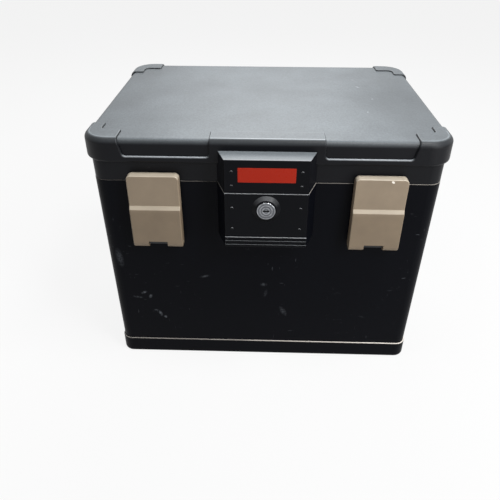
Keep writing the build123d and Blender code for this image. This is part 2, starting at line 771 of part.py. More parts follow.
# Latches, their brackets and pins on the body, and the catches on the lid
for side, x in zip(("left", "right"), latch_places):
    with BuildPart() as latch:
        with BuildSketch(Plane.YZ.offset(x - latch_width / 2)) as latch_profile:
            with BuildLine():
                Polyline(
                    (latch_back, pin_z),
                    (latch_back, latch_top),
                    (latch_upper_front, latch_top),
                    (latch_upper_front, latch_step_top),
                    (latch_lower_front, latch_step_bottom),
                    (latch_lower_front, pin_z),
                )
                ThreePointArc(
                    (latch_lower_front, pin_z),
                    (pin_y, pin_z - latch_foot),
                    (latch_back, pin_z),
                )
            make_face()
            step_corners = latch_profile.vertices().group_by(Axis.Y)
            fillet(step_corners[1] + step_corners[2], latch_step_radius)
        extrude(amount=latch_width)
        latch_outline_foot = pin_z - latch_foot - latch_foot_margin
        with BuildSketch(front_plane(latch_back)) as latch_outline:
            with Locations((x, latch_outline_foot)):
                Rectangle(latch_width, latch_top - latch_outline_foot, align=upward)
            fillet(latch_outline.vertices().group_by(Axis.Y)[0], latch_foot_radius)
            fillet(latch_outline.vertices().group_by(Axis.Y)[-1], latch_corner_radius)
        extrude(amount=latch_lower_depth, mode=Mode.INTERSECT)
        front_edges = latch.edges().filter_by(
            lambda edge: edge.center().Y < latch_upper_front + edge_tolerance
            and (
                abs(edge.center().X - x) > latch_width / 2 - latch_corner_radius
                or edge.center().Z > latch_top - edge_tolerance
            )
        )
        fillet(front_edges, latch_edge_radius)
        with BuildSketch(Plane.YZ.offset(x - latch_width / 2 + latch_wall)):
            with BuildLine():
                Polyline(
                    (pin_y + latch_foot - latch_wall, pin_z),
                    (front_y, pin_z),
                    (front_y, latch_top - latch_wall),
                    (latch_upper_front + latch_wall, latch_top - latch_wall),
                    (latch_upper_front + latch_wall, latch_step_top),
                    (latch_lower_front + latch_wall, latch_step_bottom),
                    (latch_lower_front + latch_wall, pin_z),
                )
                ThreePointArc(
                    (latch_lower_front + latch_wall, pin_z),
                    (pin_y, pin_z - latch_foot + latch_wall),
                    (pin_y + latch_foot - latch_wall, pin_z),
                )
            make_face()
        extrude(amount=latch_width - 2 * latch_wall, mode=Mode.SUBTRACT)
        for ear in (-notch_width / 2 - ear_width, notch_width / 2):
            with BuildSketch(Plane.YZ.offset(x + ear)):
                with Locations((pin_y, pin_z)):
                    Circle(latch_foot)
                    Rectangle(2 * latch_foot, ear_rise, align=upward)
            extrude(amount=ear_width)
        with BuildSketch(front_plane(latch_back)):
            with Locations((x, latch_outline_foot)):
                Rectangle(notch_width, pin_z + notch_rise - latch_outline_foot, align=upward)
        extrude(amount=latch_lower_depth, mode=Mode.SUBTRACT)
        with Locations(Plane.YZ.offset(x)):
            with Locations((pin_y, pin_z)):
                Hole(latch_pin_radius + running_clearance)
    finish(latch, f"{side}_latch")

    with BuildPart() as latch_bracket:
        with BuildSketch(Plane.YZ.offset(x)):
            with Locations((bracket_face, pin_z - knuckle_radius)):
                Rectangle(
                    bracket_thickness,
                    knuckle_radius + bracket_rise,
                    align=(Align.MAX, Align.MIN),
                )
            with Locations((bracket_front, pin_z)):
                Rectangle(
                    bracket_front - pin_y, 2 * knuckle_radius, align=(Align.MAX, Align.CENTER)
                )
            with Locations((pin_y, pin_z)):
                Circle(knuckle_radius)
                Circle(latch_pin_radius, mode=Mode.SUBTRACT)
        extrude(amount=knuckle_width / 2, both=True)
        with Locations(front_plane(bracket_front)):
            with Locations(*[(x, pin_z + row) for row in bracket_screw_rows]):
                CounterSinkHole(screw_radius, screw_head_radius, depth=bracket_thickness)
    finish(latch_bracket, f"{side}_latch_bracket")

    with BuildPart() as latch_pin:
        with BuildSketch(Plane.YZ.offset(x)):
            with Locations((pin_y, pin_z)):
                Circle(latch_pin_radius)
        extrude(amount=notch_width / 2 + ear_width, both=True)
    finish(latch_pin, f"{side}_latch_pin")

    with BuildPart() as latch_catch:
        with BuildSketch(front_plane(catch_back)):
            with Locations((x, catch_bottom)):
                Rectangle(catch_width, catch_height, align=upward)
        extrude(amount=catch_back - catch_front)
        chamfer(latch_catch.faces().sort_by(Axis.Y)[0].edges(), catch_chamfer)
    finish(latch_catch, f"{side}_latch_catch")

# Hinges: a leaf with two knuckles on the body, a leaf with one knuckle on the lid
for side, x in zip(("left", "right"), hinge_places):
    inner = hinge_middle_knuckle / 2
    outer = hinge_width / 2
    with BuildPart() as body_hinge_leaf:
        with BuildSketch(rear_plane(hinge_face)):
            with Locations((-x, body_leaf_bottom)):
                Rectangle(hinge_width, body_leaf_height, align=upward)
        extrude(amount=leaf_thickness)
        for start in (-outer, inner + hinge_knuckle_gap):
            with BuildSketch(Plane.YZ.offset(x + start)):
                with Locations((hinge_face, body_leaf_top)):
                    Rectangle(
                        leaf_thickness,
                        hinge_z - body_leaf_top,
                        align=(Align.MIN, Align.MIN),
                    )
                with Locations((hinge_y, hinge_z)):
                    Circle(hinge_knuckle_radius)
                    Circle(hinge_pin_radius, mode=Mode.SUBTRACT)
            extrude(amount=outer - inner - hinge_knuckle_gap)
        with Locations(rear_plane(leaf_face)):
            with Locations((-x, sum(body_screw_rows) / 2)):
                with GridLocations(
                    2 * hinge_screw_offset, body_screw_rows[1] - body_screw_rows[0], 2, 2
                ):
                    CounterSinkHole(screw_radius, screw_head_radius, depth=leaf_thickness)
    finish(body_hinge_leaf, f"{side}_body_hinge_leaf")

    with BuildPart() as lid_hinge_leaf:
        with BuildSketch(rear_plane(hinge_face)):
            with Locations((-x, lid_leaf_bottom)):
                Rectangle(hinge_width, lid_leaf_height, align=upward)
        extrude(amount=leaf_thickness)
        with BuildSketch(Plane.YZ.offset(x)):
            with Locations((hinge_face, hinge_z)):
                Rectangle(
                    leaf_thickness, lid_leaf_bottom - hinge_z, align=(Align.MIN, Align.MIN)
                )
            with Locations((hinge_y, hinge_z)):
                Circle(hinge_knuckle_radius)
                Circle(hinge_pin_radius + running_clearance, mode=Mode.SUBTRACT)
        extrude(amount=inner, both=True)
        with Locations(rear_plane(leaf_face)):
            with Locations((-x, lid_screw_row)):
                with GridLocations(2 * hinge_screw_offset, 0, 2, 1):
                    CounterSinkHole(screw_radius, screw_head_radius, depth=leaf_thickness)
    finish(lid_hinge_leaf, f"{side}_lid_hinge_leaf")

    with BuildPart() as hinge_pin:
        with BuildSketch(Plane.YZ.offset(x)):
            with Locations((hinge_y, hinge_z)):
                Circle(hinge_pin_radius)
        extrude(amount=outer + hinge_pin_head, both=True)
        for start in (-outer - hinge_pin_head, outer):
            with BuildSketch(Plane.YZ.offset(x + start)):
                with Locations((hinge_y, hinge_z)):
                    Circle(hinge_pin_head_radius)
            extrude(amount=hinge_pin_head)
    finish(hinge_pin, f"{side}_hinge_pin")

# Countersunk screws of the brackets and the hinge leaves
screw_head_depth = screw_head_radius - screw_radius
for name, plane, places, plate in (
    ("bracket_screws", front_plane(bracket_front), bracket_screws, bracket_thickness),
    ("body_hinge_screws", rear_plane(leaf_face), body_hinge_screws_at, leaf_thickness),
    ("lid_hinge_screws", rear_plane(leaf_face), lid_hinge_screws_at, leaf_thickness),
):
    with BuildPart() as screws:
        with Locations(plane):
            with Locations(*places):
                Cylinder(screw_radius, plate + screw_grip, align=inward)
                Cone(screw_radius, screw_head_radius, screw_head_depth, align=inward)
    finish(screws, name)
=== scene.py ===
"""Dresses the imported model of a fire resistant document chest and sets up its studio."""

import logging
import math
from dataclasses import dataclass, replace
from enum import Enum
from typing import Iterable, Optional, Union

import bmesh
import bpy
from mathutils import Matrix, Vector

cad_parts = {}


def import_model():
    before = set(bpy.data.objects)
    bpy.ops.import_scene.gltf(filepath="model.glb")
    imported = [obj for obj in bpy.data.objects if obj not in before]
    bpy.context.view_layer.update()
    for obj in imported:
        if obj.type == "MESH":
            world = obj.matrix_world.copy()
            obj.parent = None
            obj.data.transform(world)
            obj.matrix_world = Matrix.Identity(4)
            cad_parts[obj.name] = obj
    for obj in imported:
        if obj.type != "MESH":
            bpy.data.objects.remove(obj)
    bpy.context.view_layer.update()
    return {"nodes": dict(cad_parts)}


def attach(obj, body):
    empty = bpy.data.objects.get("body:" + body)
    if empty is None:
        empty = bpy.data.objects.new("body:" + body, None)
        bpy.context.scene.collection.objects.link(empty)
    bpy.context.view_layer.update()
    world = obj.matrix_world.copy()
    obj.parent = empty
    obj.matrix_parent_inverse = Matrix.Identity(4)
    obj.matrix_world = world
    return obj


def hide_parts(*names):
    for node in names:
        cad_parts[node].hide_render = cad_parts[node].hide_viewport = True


log = logging.getLogger("document_chest")

MM = 0.001
Setting = Union[float, int, str, bool, tuple]


def linear(code: str) -> tuple[float, float, float, float]:
    """Turns an sRGB hex colour into linear RGBA.

    Args:
        code: six hex digits, with or without a leading hash.

    Returns:
        Red, green, blue and an alpha of 1, in linear light.
    """
    digits = code.lstrip("#")
    channels = [int(digits[i : i + 2], 16) / 255 for i in (0, 2, 4)]
    light = [c / 12.92 if c <= 0.04045 else ((c + 0.055) / 1.055) ** 2.4 for c in channels]
    return (light[0], light[1], light[2], 1.0)


def per_metre(size_mm: float) -> float:
    """Turns a pattern's real size into how often it comes in a metre."""
    return 1 / (size_mm * MM)


def add_object(name: str, data: bpy.types.ID) -> bpy.types.Object:
    """Adds an object to the scene.

    Args:
        name: the object's name.
        data: its mesh, camera or light.

    Returns:
        The new object, at the origin.
    """
    thing = bpy.data.objects.new(name, data)
    bpy.context.scene.collection.objects.link(thing)
    return thing


def add_node(
    tree: bpy.types.NodeTree,
    kind: str,
    settings: Optional[dict[Union[str, int], Setting]] = None,
    links: Optional[dict[Union[str, int], bpy.types.NodeSocket]] = None,
) -> bpy.types.Node:
    """Adds a node with its settings and its incoming links.

    Args:
        tree: the node tree that takes the node.
        kind: the node's type name.
        settings: values by input name, input number or property name.
        links: output sockets by the input name or number that they feed.

    Returns:
        The new node.
    """
    node = tree.nodes.new(kind)
    for key, value in (settings or {}).items():
        if isinstance(key, str) and key not in node.inputs:
            setattr(node, key, value)
        else:
            node.inputs[key].default_value = value
    for key, socket in (links or {}).items():
        tree.links.new(socket, node.inputs[key])
    return node


def start_finish(name: str) -> tuple[bpy.types.Material, bpy.types.NodeTree, bpy.types.Node]:
    """Starts a finish with nothing but the coordinates of what it dresses.

    Args:
        name: the finish's name.

    Returns:
        The material, its node tree and its coordinates' node.
    """
    surface = bpy.data.materials.new(name)
    surface.use_nodes = True
    surface.node_tree.nodes.clear()
    return surface, surface.node_tree, add_node(surface.node_tree, "ShaderNodeTexCoord")


def end_finish(
    tree: bpy.types.NodeTree,
    settings: dict[str, float],
    links: dict[str, bpy.types.NodeSocket],
) -> None:
    """Ends a finish with its shader.

    Args:
        tree: the finish's node tree.
        settings: the shader's plain values.
        links: the sockets that feed the shader's other values.
    """
    shader = add_node(tree, "ShaderNodeBsdfPrincipled", settings, links)
    add_node(tree, "ShaderNodeOutputMaterial", links={"Surface": shader.outputs[0]})


class Slot(Enum):
    """The names of material slots that each row of fasteners keeps; nothing reads them."""

    BLACK = "black_plastic"
    ZINC = "zinc_steel"


class Body(Enum):
    """The bodies of the chest that carry fasteners."""

    CASE = "case"
    LID = "lid"


@dataclass(frozen=True)
class Mark:
    """One scratch, rub or chip: an ellipsoid with a soft rim round its place.

    The turn is in degrees about X, Y and Z. Share is how much of the mark's colour
    shows at its middle, and core is the part of its size that is full strength.
    """

    place_mm: tuple[float, float, float]
    half_mm: tuple[float, float, float]
    turned: tuple[float, float, float] = (0.0, 0.0, 0.0)
    share: float = 0.8
    core: float = 0.5

    def shows(
        self, tree: bpy.types.NodeTree, point: bpy.types.NodeSocket
    ) -> bpy.types.NodeSocket:
        """Finds how strongly the mark shows at each point.

        Args:
            tree: the finish's node tree.
            point: the object's coordinates.

        Returns:
            A socket from 0 to the mark's share.
        """
        local = add_node(
            tree,
            "ShaderNodeMapping",
            {
                "vector_type": "TEXTURE",
                "Location": tuple(value * MM for value in self.place_mm),
                "Rotation": tuple(math.radians(angle) for angle in self.turned),
                "Scale": tuple(value * MM for value in self.half_mm),
            },
            {"Vector": point},
        )
        reach = add_node(
            tree, "ShaderNodeVectorMath", {"operation": "LENGTH"}, {0: local.outputs[0]}
        )
        fade = add_node(
            tree,
            "ShaderNodeMapRange",
            {"From Min": 1.0, "From Max": self.core, "To Max": self.share},
            {"Value": reach.outputs["Value"]},
        )
        return fade.outputs["Result"]


def front_rub(
    x: float, z: float, half_x: float, half_z: float, turned: float, share: float
) -> Mark:
    """Makes a soft rub on the body's front, from millimetres and degrees.

    Args:
        x: its place across.
        z: its height.
        half_x: half its length across.
        half_z: half its height.
        turned: its turn in the front's plane.
        share: how much of the scuff's colour shows at its middle.

    Returns:
        The mark, deep enough for the front's lean.
    """
    middle_y, half_depth, core = -170.0, 12.0, 0.1
    place, half = (x, middle_y, z), (half_x, half_depth, half_z)
    return Mark(place, half, (0.0, turned, 0.0), share, core)


def front_chip(x: float, z: float, radius: float) -> Mark:
    """Makes a chip in a front face, from millimetres.

    Args:
        x: its place across.
        z: its height.
        radius: half its length.

    Returns:
        A bare oval spot that passes through the whole piece.
    """
    through, flatness, lean, core = 1000.0, 0.6, 34.3775, 0.7
    half = (radius, through, flatness * radius)
    return Mark((x, 0.0, z), half, (0.0, lean, 0.0), 1.0, core)


@dataclass(frozen=True)
class MouldedAbs:
    """Black or tinted ABS, injection moulded against a spark-eroded mould.

    It gives the eye a deep satin colour with a fine, even grain that breaks up
    reflections, a grey bloom of dust and painted sheen where a face looks up,
    painted highlights on the ledges and on edges whose share passes 1, and pale
    hairline scuffs where the chest has been slid about. Turn pairs how far a face
    looks up with its share of the bloom, sides is how much of it lies at the left
    and the right, which paints one side lighter as if lit from there, and streaks
    pairs a turn in radians with the streaks' size on each axis.
    """

    name: str
    colour: str
    dust_and_sheen: str
    dust_and_sheen_share: float
    ledge_highlight: str
    ledge_top_mm: float
    grain_mm: float
    grain_depth_mm: float
    roughness: float
    specular: float
    scuffs: float
    scuff_colour: str
    mottle: float
    turn: tuple[tuple[float, float], ...] = (
        (0.15, 0.0),
        (0.26, 0.06),
        (0.42, 0.17),
        (0.57, 0.27),
        (0.71, 0.4),
        (0.85, 0.62),
        (0.95, 0.92),
        (1.0, 1.0),
    )
    scratches: tuple[Mark, ...] = ()
    sides: tuple[float, float] = (1.0, 1.0)
    sides_mm: float = 200.0
    mottle_mm: float = 71.43
    patch_mm: float = 111.1
    fray_mm: float = 3.03
    streaks: tuple[tuple[float, tuple[float, float, float]], ...] = (
        (0.5, (18.18, 2.381, 3.846)),
        (-0.8, (2.381, 5.0, 14.286)),
    )

    def upward(
        self,
        tree: bpy.types.NodeTree,
        up: bpy.types.NodeSocket,
        place: bpy.types.Node,
    ) -> bpy.types.NodeSocket:
        """Finds how much of the bloom a face holds, from how far up it looks.

        Args:
            tree: the material's node tree.
            up: the upright part of the face's direction.
            place: the node that splits the object's coordinates; not used here.

        Returns:
            A socket from 0 to 1.
        """
        shares = add_node(tree, "ShaderNodeValToRGB", links={"Fac": up})
        stops = shares.color_ramp.elements
        stops[0].position, stops[1].position = self.turn[0][0], self.turn[-1][0]
        for where, _ in self.turn[1:-1]:
            stops.new(where)
        for stop, (_, share) in zip(stops, self.turn):
            stop.color = (share, share, share, 1.0)
        return shares.outputs["Color"]

    def dusted_and_sheened(
        self,
        tree: bpy.types.NodeTree,
        place: bpy.types.Node,
        mottle: bpy.types.NodeSocket,
        grain: bpy.types.NodeSocket,
    ) -> bpy.types.NodeSocket:
        """Lays the bloom of dust and painted sheen, and the painted highlights, over the plastic's
        own colour.

        Args:
            tree: the material's node tree.
            place: the coordinates' node.
            mottle: the slow mottling.
            grain: the mould's grain.

        Returns:
            A colour socket.
        """
        # Faces that look up carry the bloom of dust and painted sheen, and the rounded edges fade
        # into it.
        facing = add_node(tree, "ShaderNodeSeparateXYZ", links={0: place.outputs["Normal"]})
        split = add_node(tree, "ShaderNodeSeparateXYZ", links={0: place.outputs["Object"]})
        upward = self.upward(tree, facing.outputs["Z"], split)
        # The ledges under the top take a painted highlight colour.
        on_ledge = add_node(
            tree,
            "ShaderNodeMath",
            {"operation": "LESS_THAN", 1: self.ledge_top_mm * MM},
            {0: split.outputs["Z"]},
        )
        # A share over 1 marks an edge that takes a painted highlight.
        edge_highlight = add_node(
            tree, "ShaderNodeMapRange", {"From Min": 1.02, "From Max": 2.1}, {"Value": upward}
        )
        highlight_share = add_node(
            tree,
            "ShaderNodeMath",
            {"operation": "MAXIMUM"},
            {0: on_ledge.outputs[0], 1: edge_highlight.outputs["Result"]},
        )
        dust_sheen_and_highlight = add_node(
            tree,
            "ShaderNodeMix",
            {"data_type": "RGBA", 6: linear(self.dust_and_sheen), 7: linear(self.ledge_highlight)},
            {0: highlight_share.outputs[0]},
        )
        patchy = add_node(
            tree,
            "ShaderNodeMapRange",
            {"From Min": 0.3, "From Max": 0.7, "To Min": 1 - self.mottle, "To Max": 1.0},
            {"Value": mottle},
        )
        speckle = add_node(
            tree,
            "ShaderNodeMapRange",
            {"From Min": 0.3, "From Max": 0.7, "To Min": 0.86, "To Max": 1.12},
            {"Value": grain},
        )
        # One side can carry more of the bloom than the other: painted light from that side.
        side_light = add_node(
            tree,
            "ShaderNodeMapRange",
            {
                "From Min": -self.sides_mm * MM,
                "From Max": self.sides_mm * MM,
                "To Min": self.dust_and_sheen_share * self.sides[0],
                "To Max": self.dust_and_sheen_share * self.sides[1],
            },
            {"Value": split.outputs["X"]},
        )
        share = upward
        for thinned in (side_light, patchy, speckle):
            share = add_node(
                tree,
                "ShaderNodeMath",
                {"operation": "MULTIPLY"},
                {0: share, 1: thinned.outputs["Result"]},
            ).outputs[0]
        # Faces that look up take the paler bloom: partly dust, partly painted sheen standing for
        # light.
        with_dust_and_sheen = add_node(
            tree,
            "ShaderNodeMix",
            {"data_type": "RGBA", 6: linear(self.colour)},
            {0: share, 7: dust_sheen_and_highlight.outputs[2]},
        )
        return with_dust_and_sheen.outputs[2]

    def scuffed(
        self, tree: bpy.types.NodeTree, point: bpy.types.NodeSocket
    ) -> bpy.types.NodeSocket:
        """Draws short thin streaks from two stretched noises, only in patches.

        Args:
            tree: the material's node tree.
            point: the object's coordinates.

        Returns:
            A socket from 0 to the scuffs' strength.
        """
        streaks = []
        for turn, sizes_mm in self.streaks:
            stretch = tuple(per_metre(size) for size in sizes_mm)
            along = add_node(
                tree,
                "ShaderNodeMapping",
                {"Rotation": (0.3, turn, turn), "Scale": stretch},
                {"Vector": point},
            )
            streak = add_node(
                tree,
                "ShaderNodeTexNoise",
                {"Scale": 1.0, "Detail": 4.0, "Roughness": 0.5},
                {"Vector": along.outputs["Vector"]},
            )
            line = add_node(
                tree,
                "ShaderNodeMapRange",
                {"From Min": 0.69, "From Max": 0.76},
                {"Value": streak.outputs["Fac"]},
            )
            streaks.append(line.outputs["Result"])
        both = add_node(
            tree, "ShaderNodeMath", {"operation": "MAXIMUM"}, {0: streaks[0], 1: streaks[1]}
        )
        patches = add_node(
            tree,
            "ShaderNodeTexNoise",
            {"Scale": per_metre(self.patch_mm), "Detail": 2.0},
            {"Vector": point},
        )
        worn = add_node(
            tree,
            "ShaderNodeMapRange",
            {"From Min": 0.52, "From Max": 0.66, "To Max": self.scuffs},
            {"Value": patches.outputs["Fac"]},
        )
        shown = add_node(
            tree,
            "ShaderNodeMath",
            {"operation": "MULTIPLY"},
            {0: both.outputs[0], 1: worn.outputs["Result"]},
        )
        return shown.outputs[0]

    def marred(
        self, tree: bpy.types.NodeTree, point: bpy.types.NodeSocket
    ) -> bpy.types.NodeSocket:
        """Adds the single marks to the scuffs, frayed like dry rubbing.

        Args:
            tree: the material's node tree.
            point: the object's coordinates.

        Returns:
            A socket for how much of the scuff's colour shows.
        """
        fray = add_node(
            tree,
            "ShaderNodeTexNoise",
            {"Scale": per_metre(self.fray_mm), "Detail": 2.0},
            {"Vector": point},
        )
        frayed = add_node(
            tree,
            "ShaderNodeMapRange",
            {"From Min": 0.36, "From Max": 0.56, "To Min": 0.15, "To Max": 1.1},
            {"Value": fray.outputs["Fac"]},
        )
        marred = self.scuffed(tree, point)
        for mark in self.scratches:
            spot_mask = add_node(
                tree,
                "ShaderNodeMath",
                {"operation": "MULTIPLY"},
                {0: mark.shows(tree, point), 1: frayed.outputs["Result"]},
            )
            marred = add_node(
                tree,
                "ShaderNodeMath",
                {"operation": "MAXIMUM"},
                {0: marred, 1: spot_mask.outputs[0]},
            ).outputs[0]
        return marred

    def material(self) -> bpy.types.Material:
        """Builds the material.

        Returns:
            The finished material.
        """
        surface, tree, place = start_finish(self.name)
        point = place.outputs["Object"]
        # Slow mottling, a hand's width across.
        mottle = add_node(
            tree,
            "ShaderNodeTexNoise",
            {"Scale": per_metre(self.mottle_mm), "Detail": 3.0, "Roughness": 0.6},
            {"Vector": point},
        )
        # The mould's grain, as rounded cells of the named width.
        grain = add_node(
            tree,
            "ShaderNodeTexNoise",
            {"Scale": per_metre(self.grain_mm), "Detail": 2.0, "Roughness": 0.55},
            {"Vector": point},
        )
        dusted_and_sheened = self.dusted_and_sheened(tree, place, mottle.outputs["Fac"], grain.outputs["Fac"])
        marred = self.marred(tree, point)
        colour = add_node(
            tree,
            "ShaderNodeMix",
            {"data_type": "RGBA", 7: linear(self.scuff_colour)},
            {0: marred, 6: dusted_and_sheened},
        )
        rough = add_node(
            tree,
            "ShaderNodeMapRange",
            {
                "From Min": 0.25,
                "From Max": 0.75,
                "To Min": self.roughness - 0.05,
                "To Max": self.roughness + 0.06,
            },
            {"Value": mottle.outputs["Fac"]},
        )
        relief = add_node(
            tree,
            "ShaderNodeBump",
            {"Strength": 0.5, "Distance": self.grain_depth_mm * MM},
            {"Height": grain.outputs["Fac"]},
        )
        end_finish(
            tree,
            {"IOR": 1.5, "Specular IOR Level": self.specular},
            {
                "Base Color": colour.outputs[2],
                "Roughness": rough.outputs["Result"],
                "Normal": relief.outputs["Normal"],
            },
        )
        return surface


@dataclass(frozen=True)
class LidAbs(MouldedAbs):
    """The lid's ABS, whose raised block and corner caps are moulded smoother.

    Their front edges turn over in a painted highlight, a bright line and a slate-grey
    band, where the grained panel between them fades evenly. The top's bloom is thinned
    towards its ends and round a spot at the right, as painted shade.
    """

    block_half_mm: float = 71.8
    caps_from_mm: float = 186.0
    front_mm: float = -140.0
    # Shares over 1 paint a highlight line where the front edges of the block and caps turn over.
    trim_turn_with_highlight: tuple[tuple[float, float], ...] = (
        (0.15, 0.0),
        (0.42, 0.12),
        (0.55, 0.16),
        (0.84, 0.17),
        (0.9, 0.45),
        (0.94, 0.6),
        (0.97, 1.4),
        (0.992, 1.5),
        (0.9995, 1.0),
    )
    # Painted shade: the top's bloom thins round this spot and towards both ends.
    shaded_spot_mm: tuple[float, float, float] = (172.0, 5.0, 360.0)
    shaded_spot_radius_mm: float = 100.0
    shaded_spot_share: float = 0.2
    shaded_ends_mm: tuple[float, float] = (110.0, 215.0)
    shaded_ends_share: float = 0.26

    def upward(
        self,
        tree: bpy.types.NodeTree,
        up: bpy.types.NodeSocket,
        place: bpy.types.Node,
    ) -> bpy.types.NodeSocket:
        """Mixes the panel's bloom with the trim's, and thins it towards the ends and round a spot,
        as painted shade.

        Args:
            tree: the material's node tree.
            up: the upright part of the face's direction.
            place: the node that splits the object's coordinates.

        Returns:
            A socket from 0 to a little over 1.
        """
        panel = super().upward(tree, up, place)
        trim = MouldedAbs.upward(replace(self, turn=self.trim_turn_with_highlight), tree, up, place)
        aside = add_node(tree, "ShaderNodeMath", {"operation": "ABSOLUTE"}, {0: place.outputs["X"]})
        block = add_node(
            tree,
            "ShaderNodeMath",
            {"operation": "LESS_THAN", 1: self.block_half_mm * MM},
            {0: aside.outputs[0]},
        )
        caps = add_node(
            tree,
            "ShaderNodeMath",
            {"operation": "GREATER_THAN", 1: self.caps_from_mm * MM},
            {0: aside.outputs[0]},
        )
        raised = add_node(
            tree,
            "ShaderNodeMath",
            {"operation": "MAXIMUM"},
            {0: block.outputs[0], 1: caps.outputs[0]},
        )
        front = add_node(
            tree,
            "ShaderNodeMath",
            {"operation": "LESS_THAN", 1: self.front_mm * MM},
            {0: place.outputs["Y"]},
        )
        trimmed = add_node(
            tree,
            "ShaderNodeMath",
            {"operation": "MULTIPLY"},
            {0: raised.outputs[0], 1: front.outputs[0]},
        )
        joined = add_node(
            tree,
            "ShaderNodeMix",
            {"data_type": "FLOAT"},
            {0: trimmed.outputs[0], 2: panel, 3: trim},
        )
        # Painted shade: the bloom thins round a spot at the right and towards both ends.
        spot = add_node(
            tree, "ShaderNodeCombineXYZ", links={axis: place.outputs[axis] for axis in "XYZ"}
        )
        away = add_node(
            tree,
            "ShaderNodeVectorMath",
            {"operation": "DISTANCE", 1: tuple(c * MM for c in self.shaded_spot_mm)},
            {0: spot.outputs[0]},
        )
        spot_mask = add_node(
            tree,
            "ShaderNodeMapRange",
            {
                "From Max": self.shaded_spot_radius_mm * MM,
                "To Min": 1 - self.shaded_spot_share,
                "interpolation_type": "SMOOTHSTEP",
            },
            {"Value": away.outputs["Value"]},
        )
        ends = add_node(
            tree,
            "ShaderNodeMapRange",
            {
                "From Min": self.shaded_ends_mm[0] * MM,
                "From Max": self.shaded_ends_mm[1] * MM,
                "To Min": 1.0,
                "To Max": 1 - self.shaded_ends_share,
            },
            {"Value": aside.outputs[0]},
        )
        kept = joined.outputs[0]
        for thinned in (spot_mask, ends):
            kept = add_node(
                tree,
                "ShaderNodeMath",
                {"operation": "MULTIPLY"},
                {0: kept, 1: thinned.outputs["Result"]},
            ).outputs[0]
        return kept


